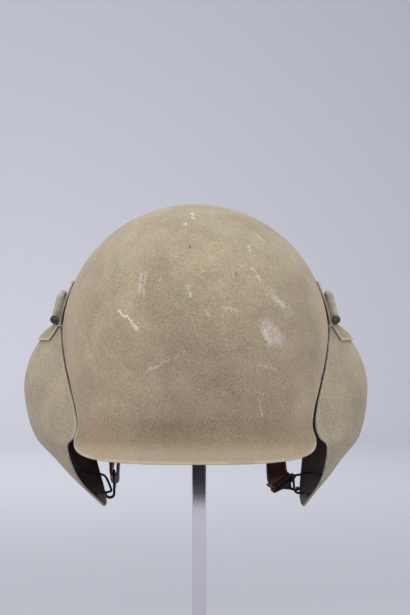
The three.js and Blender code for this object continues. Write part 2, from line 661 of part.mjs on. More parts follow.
function strapStations() {
  const stations = [];
  const add = (place, face) => stations.push({ place, face: face.clone().normalize() });
  const onDome = (angle, z) => {
    const turn = Math.PI / 2 - THREE.MathUtils.degToRad(angle);
    const point = domePoint(turn, z, -STRAP_CLEAR);
    const face = domePoint(turn, z, -STRAP_CLEAR - 1).sub(point);
    return [point, face];
  };
  const climb = (side) => {
    const { bar, d, facing } = hookAxes(side);
    const n = facing.clone().multiplyScalar(side.tailSide);
    const around = 2.8;
    const middle = bar.clone().addScaledVector(d, FRAME_BAR / 2);
    const list = [];
    // The short end lies on one side of the frame's bar, goes through the window and comes up on the other
    list.push([middle.clone().addScaledVector(n, around + 0.4).addScaledVector(d, 16), n]);
    list.push([middle.clone().addScaledVector(n, around).addScaledVector(d, 5), n]);
    for (const angle of [0, -45, -90, -135, -180]) {
      const a = THREE.MathUtils.degToRad(angle);
      const radial = n.clone().multiplyScalar(Math.cos(a)).addScaledVector(d, Math.sin(a));
      list.push([middle.clone().addScaledVector(radial, around), radial]);
    }
    list.push([middle.clone().addScaledVector(n, -around - 0.4).addScaledVector(d, 5), n.clone().negate()]);
    // The same face of the leather lies outside on both sides, whichever way an end goes round its bar
    return list.map(([place, face]) => [place, face.clone().multiplyScalar(side.tailSide)]);
  };
  const [left, right] = SIDES;
  for (const [place, face] of climb(left)) add(place, face);
  for (const row of STRAP_REST) add(...onDome(-row.angle, row.z));
  for (const row of STRAP_REST.slice(0, -1).reverse()) add(...onDome(row.angle, row.z));
  for (const [place, face] of climb(right).reverse()) add(place, face);
  return stations;
}

function chinStrap() {
  const stations = strapStations();
  const route = new THREE.CatmullRomCurve3(stations.map((s) => s.place), false, 'centripetal');
  const count = 72;
  const rowsOf = (offset) => {
    const rows = [];
    for (let k = 0; k <= count; k++) {
      const t = k / count;
      const spot = t * (stations.length - 1);
      const i = Math.min(stations.length - 2, Math.floor(spot));
      const face = stations[i].face.clone().lerp(stations[i + 1].face, spot - i);
      const along = route.getTangent(t);
      const across = new THREE.Vector3().crossVectors(along, face).normalize();
      const normal = new THREE.Vector3().crossVectors(across, along).normalize();
      const place = route.getPoint(t).addScaledVector(normal, offset);
      rows.push([-0.5, 0.5].map((s) => place.clone().addScaledVector(across, s * STRAP_WIDTH)));
    }
    return rows;
  };
  const geometry = facingOut(slab(rowsOf(STRAP_THICK / 2), rowsOf(-STRAP_THICK / 2)));
  return meshOf('chin_strap', geometry, surface('#4a2418', 0.6, 0));
}

// Stand

function stand() {
  const base = new THREE.BoxGeometry(BASE_SIDE, BASE_SIDE, BASE_THICK).translate(0, 0, BASE_THICK / 2);
  const padTopZ = CROWN_Z - WALL - PAD_GAP;
  const padFootZ = padTopZ - PAD_THICK;
  const postLength = padFootZ - GAP - BASE_THICK - GAP;
  const post = new THREE.BoxGeometry(POST_SIDE, POST_SIDE, postLength)
    .translate(0, 0, BASE_THICK + GAP + postLength / 2);
  // The pad's top follows the inside of the crown
  const profile = [new THREE.Vector2(0, padFootZ), new THREE.Vector2(PAD_RADIUS, padFootZ)];
  const hollow = DOME_RADIUS - WALL - PAD_GAP;
  for (const share of [1, 0.75, 0.5, 0.25, 0]) {
    const r = PAD_RADIUS * share;
    const drop = hollow - Math.sqrt(hollow ** 2 - (r + Math.abs(HELMET_X) * share) ** 2);
    profile.push(new THREE.Vector2(r, padTopZ - drop * 1.06));
  }
  const pad = new THREE.LatheGeometry(profile, 24).rotateX(Math.PI / 2);
  const steel = () => surface('#b9b6ba', 0.3, 1);
  return [
    meshOf('stand_base', base, steel()),
    meshOf('stand_post', post, steel()),
    meshOf('stand_pad', pad, surface('#3a3a3a', 0.95, 0)),
  ];
}

// The whole thing

const group = new THREE.Group();
const helmet = new THREE.Group();
helmet.position.x = HELMET_X;
helmet.add(helmetShell(), chinStrap());
for (const side of SIDES) helmet.add(cheekPlate(side), ...hinge(side), strapLoop(side), strapHook(side));
group.add(helmet, ...stand());

export default group;
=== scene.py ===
# %% [markdown]
# # A steel flak helmet on its stand
#
# The object is a pressed steel dome with a steel plate hinged over each ear, a leather chin strap
# hooked to the plates, and a square steel post on a base that carries it. The solids come packed
# from the construction file. Each one is stood for here by a finer mesh of the same form, and each
# mesh gets the finish of the real thing. Lengths are in millimetres until a mesh is made from them.

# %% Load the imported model
import math
import bmesh
import bpy
from mathutils import Matrix, Quaternion, Vector
from mathutils.geometry import delaunay_2d_cdt
from mathutils.kdtree import KDTree


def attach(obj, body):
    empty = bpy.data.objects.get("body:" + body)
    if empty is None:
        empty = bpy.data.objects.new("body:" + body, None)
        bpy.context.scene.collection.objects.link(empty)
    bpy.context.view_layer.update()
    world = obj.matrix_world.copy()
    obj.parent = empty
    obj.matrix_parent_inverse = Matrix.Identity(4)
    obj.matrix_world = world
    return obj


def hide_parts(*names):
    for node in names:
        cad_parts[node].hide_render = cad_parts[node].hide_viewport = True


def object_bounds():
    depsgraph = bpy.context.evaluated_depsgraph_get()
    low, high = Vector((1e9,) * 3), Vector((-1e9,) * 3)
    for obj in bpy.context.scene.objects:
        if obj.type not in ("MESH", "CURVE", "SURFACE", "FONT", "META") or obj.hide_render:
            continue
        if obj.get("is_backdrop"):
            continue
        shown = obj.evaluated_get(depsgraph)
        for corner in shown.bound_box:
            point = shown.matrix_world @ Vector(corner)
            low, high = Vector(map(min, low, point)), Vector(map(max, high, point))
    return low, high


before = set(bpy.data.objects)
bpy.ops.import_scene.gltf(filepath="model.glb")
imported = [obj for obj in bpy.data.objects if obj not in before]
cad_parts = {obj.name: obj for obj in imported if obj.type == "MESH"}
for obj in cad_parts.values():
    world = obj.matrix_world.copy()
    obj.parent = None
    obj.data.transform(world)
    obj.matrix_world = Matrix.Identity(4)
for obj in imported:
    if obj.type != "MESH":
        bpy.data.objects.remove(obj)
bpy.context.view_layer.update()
MM = 0.001

# %% [markdown]
# ## The camera
#
# The photograph looks level at the back of the helmet from about 1.6 metres. Its frame is 410 by
# 615 pixels, upright, so the sensor's 36 mm lie along the height. The focal length follows from
# the height of the scene that the frame takes in at the helmet's middle.

# %% Place the camera
PHOTO_WIDTH_PX, PHOTO_HEIGHT_PX = 410, 615
MM_PER_PX = 0.819           # at the helmet's middle, from its width over both cheek plates
CAMERA_AT = Vector((4.8, -1600.0, 318.0))
SENSOR = 36.0

scene = bpy.context.scene
lens = bpy.data.cameras.new("lens")
lens.sensor_width = SENSOR
lens.lens = SENSOR * -CAMERA_AT.y / (MM_PER_PX * PHOTO_HEIGHT_PX)
camera = bpy.data.objects.new("camera", lens)
camera.location = CAMERA_AT * MM
camera.rotation_euler = (math.pi / 2, 0, 0)
scene.collection.objects.link(camera)
scene.camera = camera
scene.view_settings.view_transform = "Standard"
print("focal length", round(lens.lens, 1), "mm")

# %% [markdown]
# ## The studio
#
# A pale round floor bends up into a wall on all sides, so that no horizon shows from anywhere. Soft
# light is light from a large face: area lights stand for the studio's softboxes, one overhead, one
# at each side and one in front, and another washes the wall behind the object. A black cloth hangs
# by the camera. Only reflections see it: the polished post shows it as the dark stretch at its top.
# The paper's colour is painted brightest at the foot of the wall behind the object and darker away
# from it, a painted pool of light, and a last light washes its other side, so that the object has a
# calm background from the front too.

# %% Floor and backdrop in one sheet
def linear(hex_colour):
    """An sRGB hex colour as the linear RGBA that Blender's sockets take."""
    channels = [int(hex_colour[i:i + 2], 16) / 255 for i in (1, 3, 5)]
    return (*[c / 12.92 if c <= 0.04045 else ((c + 0.055) / 1.055) ** 2.4 for c in channels], 1.0)


def feed(tree, node, inputs):
    """Sets inputs of a node: each to a plain value, a hex colour, or the node or socket that feeds it."""
    for key, value in inputs.items():
        socket = node.inputs[key] if isinstance(key, int) else next(
            s for s in node.inputs if s.enabled and s.name == key)
        if isinstance(value, bpy.types.Node):
            value = next(s for s in value.outputs if s.enabled)
        if isinstance(value, bpy.types.NodeSocket):
            tree.links.new(value, socket)
        else:
            socket.default_value = linear(value) if isinstance(value, str) else value


def add_node(tree, kind, inputs=None, **settings):
    """Adds a node with its settings and its inputs."""
    made = tree.nodes.new(kind)
    for name, value in settings.items():
        setattr(made, name, value)
    feed(tree, made, inputs or {})
    return made


def new_material(name):
    """A material with its shader, and the tree that the shader stands in."""
    material = bpy.data.materials.new(name)
    material.use_nodes = True
    return material, material.node_tree, material.node_tree.nodes["Principled BSDF"]


# Blender's own names of the nodes that come up most
COORDS, NOISE, BUMP = "ShaderNodeTexCoord", "ShaderNodeTexNoise", "ShaderNodeBump"
FIT, MATH, MIX, VECTOR_MATH = "ShaderNodeMapRange", "ShaderNodeMath", "ShaderNodeMix", "ShaderNodeVectorMath"

FLOOR_RADIUS = 3.0
BEND_RADIUS = 1.4
WALL_TOP = 3.6
BEND_STEPS, BACKDROP_SIDES = 24, 96

paper, paper_tree, paper_shader = new_material("backdrop_paper")
# Painted light: the paper's colour is pale near this place at the foot of the wall and turns greyer with
# distance from it
PAINTED_LIGHT_AT = Vector((-0.35, 3.7, 0.15))
PAINTED_LIGHT_NEAR, PAINTED_LIGHT_FAR = 0.2, 3.2
from_painted_light = add_node(paper_tree, VECTOR_MATH, {
    0: add_node(paper_tree, COORDS).outputs["Object"], 1: PAINTED_LIGHT_AT}, operation="DISTANCE")
painted_light_falloff = add_node(paper_tree, FIT, {"Value": from_painted_light, "From Min": PAINTED_LIGHT_NEAR, "From Max": PAINTED_LIGHT_FAR})
tone = add_node(paper_tree, MIX, {"Factor": painted_light_falloff, "A": "#d6d6e0", "B": "#b1b3be"}, data_type="RGBA")
feed(paper_tree, paper_shader, {"Base Color": tone, "Roughness": 1.0, "Specular IOR Level": 0.0})

profile = [(FLOOR_RADIUS / 2, 0.0)]
for step in range(BEND_STEPS + 1):
    turn = math.pi / 2 * step / BEND_STEPS
    profile.append((FLOOR_RADIUS + BEND_RADIUS * math.sin(turn), BEND_RADIUS * (1 - math.cos(turn))))
profile.append((FLOOR_RADIUS + BEND_RADIUS, WALL_TOP))
corners = [(0.0, 0.0, 0.0)]
for radius, z in profile:
    for k in range(BACKDROP_SIDES):
        turn = math.tau * k / BACKDROP_SIDES
        corners.append((radius * math.cos(turn), radius * math.sin(turn), z))
panels = []
for k in range(BACKDROP_SIDES):
    there = (k + 1) % BACKDROP_SIDES
    panels.append((0, 1 + k, 1 + there))
    for ring in range(len(profile) - 1):
        low, high = 1 + ring * BACKDROP_SIDES, 1 + (ring + 1) * BACKDROP_SIDES
        panels.append((low + k, high + k, high + there, low + there))
backdrop_mesh = bpy.data.meshes.new("backdrop")
backdrop_mesh.from_pydata(corners, [], panels)
backdrop_mesh.shade_smooth()
backdrop_mesh.materials.append(paper)
backdrop = bpy.data.objects.new("backdrop", backdrop_mesh)
scene.collection.objects.link(backdrop)
backdrop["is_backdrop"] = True
print("backdrop faces", len(backdrop_mesh.polygons))

# %% Softboxes
SOFTBOXES = [
    # name, where it stands (m), what it points at (m), width and height (m), watts, colour
    ("top_box", (0.0, -0.1, 1.75), (0, 0, 0.3), (1.5, 1.1), 18, "#fbfaf4"),
    ("left_box", (-1.5, -0.5, 0.75), (0, 0, 0.3), (0.9, 1.1), 15, "#fff9f2"),
    ("right_box", (1.5, -0.5, 0.75), (0, 0, 0.3), (0.9, 1.1), 10, "#fffcf6"),
    ("front_box", (0.2, -2.4, 0.95), (0, 0, 0.28), (1.6, 0.6), 22, "#fffaf4"),
    ("wall_wash", (-0.8, 1.6, 2.0), (-0.6, 3.5, 0.1), (3.0, 0.8), 50, "#fefffa"),
    ("far_wall_wash", (0.8, -1.6, 2.0), (0.6, -3.5, 0.1), (3.0, 0.8), 36, "#fefffa"),
]
for name, place, target, size, watts, colour in SOFTBOXES:
    data = bpy.data.lights.new(name, "AREA")
    data.shape = "RECTANGLE"
    data.size, data.size_y = size
    data.energy = watts
    data.color = linear(colour)[:3]
    light = bpy.data.objects.new(name, data)
    light.location = place
    light.rotation_euler = (Vector(target) - Vector(place)).to_track_quat("-Z", "Y").to_euler()
    light.visible_camera = False
    scene.collection.objects.link(light)

world = bpy.data.worlds.new("room")
world.use_nodes = True
feed(world.node_tree, world.node_tree.nodes["Background"], {"Color": "#dfe3ee", "Strength": 0.35})
scene.world = world
print("softboxes", len(SOFTBOXES))

# %% Black flag for the post
flag_cloth, flag_tree, flag_shader = new_material("black_flag")
feed(flag_tree, flag_shader, {"Base Color": "#2b2a2c", "Roughness": 1.0, "Specular IOR Level": 0.0})
FLAG_X, FLAG_Y, FLAG_LOW, FLAG_HIGH = 1.2, -1.585, 0.002, 1.2
flag_corners = [(-FLAG_X, FLAG_LOW), (FLAG_X, FLAG_LOW), (FLAG_X, FLAG_HIGH), (-FLAG_X, FLAG_HIGH)]
flag_mesh = bpy.data.meshes.new("black_flag")
flag_mesh.from_pydata([(x, FLAG_Y, z) for x, z in flag_corners], [], [(0, 1, 2, 3)])
flag_mesh.materials.append(flag_cloth)
flag = bpy.data.objects.new("black_flag", flag_mesh)
flag.visible_camera = False
flag.visible_diffuse = False
flag.visible_shadow = False
scene.collection.objects.link(flag)
flag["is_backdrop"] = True
print("flag", FLAG_HIGH, "m high")

# %% [markdown]
# ## The dome's form
#
# The dome is pressed from one sheet. Seen from behind it is a half circle above its widest level,
# and below that three reaches say how far it stands out to the side, the rear and the front. A
# level cut through it is a superellipse, a little fuller than an ellipse. The same rules made the
# solid, so the fine mesh lies on it everywhere.

# %% Rules for the dome
HELMET_X = -3.0             # the helmet sits a little to one side on its post
WALL = 1.7
CROWN_Z = 402.5
DOME_RADIUS = 108.5
BELT_Z = CROWN_Z - DOME_RADIUS
FULLNESS = 2.25
NECK_Z = 199.3
BROW_Z = 250.0


def table(columns, rows):
    """Rows of values as dictionaries keyed by the columns' names."""
    names = columns.split()
    return [dict(zip(names, row)) for row in rows]


DOME_ROWS = table("z side rear front", [
    (294, 108.5, 124, 122),
    (276, 107.6, 123.4, 121.2),
    (260, 106.4, 121.8, 120.8),
    (250, 106, 120.3, 123),
    (236, 105.9, 117.5, 124),
    (225, 107.5, 115, 124),
    (214, 111.6, 116.2, 124),
    (205, 115, 120, 124),
    (196, 117.5, 124.5, 124),
])


def mix(a, b, share):
    return a + (b - a) * share


def clamp01(value):
    return min(1.0, max(0.0, value))


def column_at(rows, key, z):
    """One column of a table at height z, on a smooth curve through its rows."""
    i = next((n for n, row in enumerate(rows) if n > 0 and z >= row["z"]), len(rows) - 1)
    a, b, c, d = (rows[min(len(rows) - 1, max(0, n))] for n in (i - 2, i - 1, i, i + 1))
    span = b["z"] - c["z"]
    t = clamp01((b["z"] - z) / span)

    def slope(p, q):
        return 0.0 if p["z"] == q["z"] else (q[key] - p[key]) / (p["z"] - q["z"])

    first = span * (slope(b, c) if i == 1 else slope(a, c))
    last = span * (slope(b, c) if i == len(rows) - 1 else slope(b, d))
    return ((2 * t**3 - 3 * t**2 + 1) * b[key] + (t**3 - 2 * t**2 + t) * first
            + (3 * t**2 - 2 * t**3) * c[key] + (t**3 - t**2) * last)


def dome_reach(z, inset=0.0):
    """How far the dome stands out to the side, rear and front at height z."""
    if z < BELT_Z:
        return [column_at(DOME_ROWS, key, z) - inset for key in ("side", "rear", "front")]
    share = math.sqrt(max(0.0, 1 - ((z - BELT_Z) / (DOME_RADIUS - inset)) ** 2))
    return [(DOME_ROWS[0][key] - inset) * share for key in ("side", "rear", "front")]


def dome_power(z):
    return mix(FULLNESS, 2.0, clamp01((z - BELT_Z) / DOME_RADIUS))


def dome_point(angle, z, inset=0.0):
    """A point on the dome. Angle 0 is +X, a quarter turn is +Y."""
    side, rear, front = dome_reach(z, inset)
    cosine, sine = math.cos(angle), math.sin(angle)
    power = 2 / dome_power(z)
    depth = front if sine >= 0 else rear
    return Vector((
        HELMET_X + side * math.copysign(abs(cosine) ** power, cosine),
        depth * math.copysign(abs(sine) ** power, sine),
        z,
    ))


def dome_angle(y, z):
    """The angle, on the +X side, at which the dome's surface is y deep at height z."""
    _, rear, front = dome_reach(z)
    depth = front if y >= 0 else rear
    return math.copysign(math.asin(min(1.0, abs(y) / depth) ** (dome_power(z) / 2)), y)


def dome_side(y, z, inset=0.0):
    """How far out, from the helmet's middle, the dome's side lies at depth y and height z."""
    side, rear, front = dome_reach(z, inset)
    power = dome_power(z)
    return side * (1 - min(1.0, abs(y) / (front if y >= 0 else rear)) ** power) ** (1 / power)


print("dome", round(dome_point(0, BELT_Z).x - dome_point(math.pi, BELT_Z).x, 1), "mm wide")

# %% [markdown]
# ## A sheet with a wall and a rounded edge
#
# Pressed steel is one thickness all over, and its edge is filed round. A modifier could thicken
# the sheet, but here the wall is made in code: then the edge is a true half round, and each point
# can carry its distance to the nearest edge, which is where paint wears off first.

# %% Thicken a sheet
def vertex_normals(points, faces):
    """Each point's normal, from the faces round it."""
    normals = [Vector() for _ in points]
    for face in faces:
        a, b, c = (points[i] for i in (face[0], face[1], face[-1]))
        if len(face) == 4:
            across = (points[face[2]] - a).cross(points[face[3]] - points[face[1]])
        else:
            across = (b - a).cross(c - a)
        for i in face:
            normals[i] += across
    return [n.normalized() for n in normals]


def search_tree(points):
    """Finds the nearest of these points to any place."""
    tree = KDTree(len(points))
    for k, point in enumerate(points):
        tree.insert(point, k)
    tree.balance()
    return tree


LIP_STEPS = 6


def walled(points, faces, rim, thickness):
    """Gives a sheet a wall below it and a half-round edge.

    rim lists the boundary's points in order, with the sheet on the left as seen from outside.
    The zones of the faces are 0 outside, 1 on the edge and 2 inside.
    """
    normals = vertex_normals(points, faces)
    outer = [p.copy() for p in points]
    inner = [p - n * thickness for p, n in zip(points, normals)]
    radius = thickness / 2
    rings = []
    for k, i in enumerate(rim):
        along = points[rim[(k + 1) % len(rim)]] - points[rim[k - 1]]
        away = along.cross(normals[i]).normalized()
        middle = points[i] - (away + normals[i]) * radius
        ring = []
        for step in range(LIP_STEPS + 1):
            turn = math.pi * step / LIP_STEPS
            ring.append(middle + (normals[i] * math.cos(turn) + away * math.sin(turn)) * radius)
        outer[i], inner[i] = ring[0], ring[-1]
        rings.append(ring)

    count = len(points)
    all_points = outer + inner
    made = [tuple(face) for face in faces]
    made += [tuple(count + i for i in reversed(face)) for face in faces]
    zones = [0] * len(faces) + [2] * len(faces)
    index = []
    for i, ring in zip(rim, rings):
        index.append([i] + [len(all_points) + k for k in range(LIP_STEPS - 1)] + [count + i])
        all_points += ring[1:-1]
    for k in range(len(rim)):
        here, there = index[k], index[(k + 1) % len(rim)]
        for j in range(LIP_STEPS):
            made.append((here[j + 1], there[j + 1], there[j], here[j]))
            zones.append(1)

    edge = search_tree([points[i] for i in rim])
    distance = [edge.find(p)[2] for p in points]
    distance = distance * 2 + [0.0] * (len(all_points) - 2 * count)
    return all_points, made, zones, distance


def mesh_from(points, faces, name="part"):
    """A mesh in metres from points in millimetres."""
    mesh = bpy.data.meshes.new(name)
    mesh.from_pydata([p * MM for p in points], [], faces)
    return mesh


def hand_over(name, mesh, stands_for):
    """A mesh's object: the solids that it stands for are hidden, and it rides on the one body."""
    made = bpy.data.objects.new(name, mesh)
    scene.collection.objects.link(made)
    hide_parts(*stands_for)
    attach(made, "root")
    print(name, len(mesh.polygons), "faces")
    return made


def make_piece(name, points, faces, materials, stands_for, zones=None, values=None):
    """A piece from points in millimetres, with a material for each zone and values for its points."""
    mesh = mesh_from(points, faces, name)
    for material in materials:
        mesh.materials.append(material)
    if zones:
        mesh.polygons.foreach_set("material_index", zones)
    for key, numbers in (values or {}).items():
        mesh.attributes.new(key, "FLOAT", "POINT").data.foreach_set("value", numbers)
    mesh.shade_smooth()
    return hand_over(name, mesh, stands_for)


# %% [markdown]
# ## The paint
#
# The helmet is sprayed with a matt lacquer that has grit in it, so it glitters nowhere and takes a
# soft, grainy light. Years of handling have rubbed the grit off at the edges and left pale scuffs.
# The base coat is noise at real sizes: blotches, clouds and streaks a few centimetres wide, grit
# about a millimetre across, and dust below that. The grit is drawn a little coarser than it is, so
# that it shows.

# %% A scuff as a node group
PULL_MM = 7.0               # how far noise pulls a scuff out of its straight line
PULL_SCALE = 300.0          # per metre, so it turns every few millimetres
GRIT_LEAST = 0.40           # only grit higher than this shows in an unbroken scuff
GRIT_BROKEN = 0.17          # and in a fully broken one it has to be this much higher
GRIT_SPAN = 0.12


def scuff_group():
    """How much a point belongs to a scuff that runs from one place to another."""
    group = bpy.data.node_groups.new("scuff", "ShaderNodeTree")
    for label in ("Place", "From", "To"):
        group.interface.new_socket(label, in_out="INPUT", socket_type="NodeSocketVector")
    for label in ("Half width", "Strength", "Broken", "Grit"):
        group.interface.new_socket(label, in_out="INPUT", socket_type="NodeSocketFloat")
    group.interface.new_socket("Amount", in_out="OUTPUT", socket_type="NodeSocketFloat")
    source = group.nodes.new("NodeGroupInput").outputs

    # The distance to the stretch between both ends, which noise pulls out of its straight line
    run = add_node(group, VECTOR_MATH, {0: source["To"], 1: source["From"]}, operation="SUBTRACT")
    pull = add_node(group, NOISE, {"Vector": source["Place"], "Scale": PULL_SCALE, "Detail": 3.0})
    pull = add_node(group, VECTOR_MATH, {0: pull.outputs["Color"], 1: (0.5, 0.5, 0.5)}, operation="SUBTRACT")
    pull = add_node(group, VECTOR_MATH, {0: pull, "Scale": PULL_MM * MM}, operation="SCALE")
    bent = add_node(group, VECTOR_MATH, {0: source["Place"], 1: pull}, operation="ADD")
    reach = add_node(group, VECTOR_MATH, {0: bent, 1: source["From"]}, operation="SUBTRACT")
    dot = add_node(group, VECTOR_MATH, {0: run, 1: reach}, operation="DOT_PRODUCT")
    square = add_node(group, VECTOR_MATH, {0: run, 1: run}, operation="DOT_PRODUCT")
    share = add_node(group, MATH, {0: dot, 1: square}, operation="DIVIDE", use_clamp=True)
    nearest = add_node(group, VECTOR_MATH, {0: run, "Scale": share}, operation="SCALE")
    gap = add_node(group, VECTOR_MATH, {0: reach, 1: nearest}, operation="DISTANCE")
    fade = add_node(group, FIT, {
        "Value": gap, "From Min": source["Half width"], "From Max": 0.0}, interpolation_type="SMOOTHSTEP")

    # The broken ones show only where the grit stands up
    low = add_node(group, MATH, {
        0: source["Broken"], 1: GRIT_BROKEN, 2: GRIT_LEAST}, operation="MULTIPLY_ADD")
    high = add_node(group, MATH, {0: low, 1: GRIT_SPAN}, operation="ADD")
    least = add_node(group, MATH, {0: 1.0, 1: source["Broken"]}, operation="SUBTRACT")
    kept = add_node(group, FIT, {
        "Value": source["Grit"], "From Min": low, "From Max": high, "To Min": least, "To Max": 1.0})
    broken = add_node(group, MATH, {0: fade, 1: kept}, operation="MULTIPLY")
    amount = add_node(group, MATH, {0: broken, 1: source["Strength"]}, operation="MULTIPLY")
    add_node(group, "NodeGroupOutput", {"Amount": amount})
    return group


SCUFF = scuff_group()
print("scuff group nodes", len(SCUFF.nodes))

# %% Where the scuffs are
SCUFF_ROWS = table("from_x from_y to_x to_y width strength broken", [
    # Photograph pixels at both ends, width in millimetres, strength, how broken up it is
    (118, 311, 129, 318, 1.7, 1.0, 0.2),
    (129, 318, 137, 330, 1.5, 0.9, 0.3),
    (141, 274, 139, 292, 2.4, 0.7, 0.7),
    (146, 273, 143, 296, 2.4, 0.6, 0.8),
    (161, 277, 159, 281, 1.8, 0.7, 0.4),
    (192, 213, 193, 215, 2.0, 0.9, 0.0),
    (193, 217, 194, 219, 1.6, 0.9, 0.0),
    (185, 223, 186, 225, 1.6, 0.7, 0.0),
    (190, 294, 191, 297, 1.6, 1.0, 0.1),
    (188, 286, 189, 292, 3.5, 0.5, 0.8),
    (249, 246, 250, 251, 1.2, 0.8, 0.2),
    (255, 234, 263, 240, 2.2, 0.6, 0.5),
    (252, 268, 257, 273, 1.4, 0.7, 0.3),
    (257, 273, 260, 281, 1.4, 0.7, 0.3),
    (270, 293, 288, 311, 9.0, 0.8, 0.95),
    (275, 298, 284, 306, 4.0, 0.9, 0.7),
    (266, 324, 279, 340, 9.5, 1.0, 0.85),
    (264, 330, 270, 342, 5.0, 1.0, 0.7),
    (145, 372, 165, 362, 1.3, 0.5, 0.4),
    (165, 362, 185, 353, 1.3, 0.4, 0.5),
    (134, 326, 136, 330, 2.2, 0.6, 0.4),
    (261, 408, 262, 416, 1.3, 0.5, 0.3),
    (207, 310, 209, 318, 1.8, 0.5, 0.5),
    (224, 308, 236, 310, 2.5, 0.5, 0.8),
    (258, 366, 275, 368, 1.6, 0.6, 0.7),
    (258, 396, 262, 414, 1.6, 0.5, 0.7),
    (262, 396, 274, 384, 1.2, 0.4, 0.6),
])
STAIN_ROWS = table("from_x from_y to_x to_y width strength broken", [
    (190, 246, 190, 248, 1.5, 0.9, 0.0),
    (236, 273, 236, 275, 1.7, 0.6, 0.2),
    (202, 421, 202, 422, 1.2, 0.6, 0.0),
    (233, 392, 234, 393, 1.6, 0.5, 0.3),
])


FIRST_DEPTH = -110.0        # a guess at a place's depth, which each round brings closer
DEPTH_ROUNDS = 12


def on_dome(px, py):
    """The place on the back of the dome that a photograph pixel shows."""
    y = FIRST_DEPTH
    for _ in range(DEPTH_ROUNDS):
        scale = MM_PER_PX * (y - CAMERA_AT.y) / -CAMERA_AT.y
        x = CAMERA_AT.x + (px - PHOTO_WIDTH_PX / 2) * scale
        z = CAMERA_AT.z - (py - PHOTO_HEIGHT_PX / 2) * scale
        side, rear, _ = dome_reach(min(z, CROWN_Z - 0.5))
        power = dome_power(z)
        y = -rear * max(0.0, 1 - (abs(x - HELMET_X) / side) ** power) ** (1 / power)
    return Vector((x, y, z)) * MM


first_scuff = on_dome(SCUFF_ROWS[0]["from_x"], SCUFF_ROWS[0]["from_y"])
print("scuffs", len(SCUFF_ROWS), "the first at", [round(v, 4) for v in first_scuff])


# %% Lacquer with grit
GRIT_MM = 1.5
DUST_MM = 0.7
BLOTCH_MM = 60.0
CLOUD_MM = 30.0
STREAK_MM = 14.0
WORN_EDGE_MM = 2.6
GREEN_FROM, GREEN_FULL = 0.25, 0.40     # heights in metres
PAINTED_LIGHT_BANDS = [
    # height where it starts and where it is full (m), how strong it gets, colour
    (0.245, 0.222, 0.34, "#66553f"),    # painted shade above the neck rim, where the dome turns down
    (0.217, 0.205, 0.4, "#b7a88f"),     # painted light on the flared lip, which turns up
]


def per_metre(millimetres):
    """A noise's scale for features of this size, on coordinates in metres."""
    return 1000.0 / millimetres


def strongest_mark(tree, rows, place, grit):
    """How much each point belongs to any of these marks."""
    strongest = None
    for row in rows:
        mark = add_node(tree, "ShaderNodeGroup", {
            "Place": place, "Grit": grit, "From": on_dome(row["from_x"], row["from_y"]),
            "To": on_dome(row["to_x"], row["to_y"]), "Half width": row["width"] * MM,
            "Strength": row["strength"], "Broken": row["broken"]}, node_tree=SCUFF)
        strongest = mark if strongest is None else add_node(
            tree, MATH, {0: strongest, 1: mark}, operation="MAXIMUM")
    return strongest


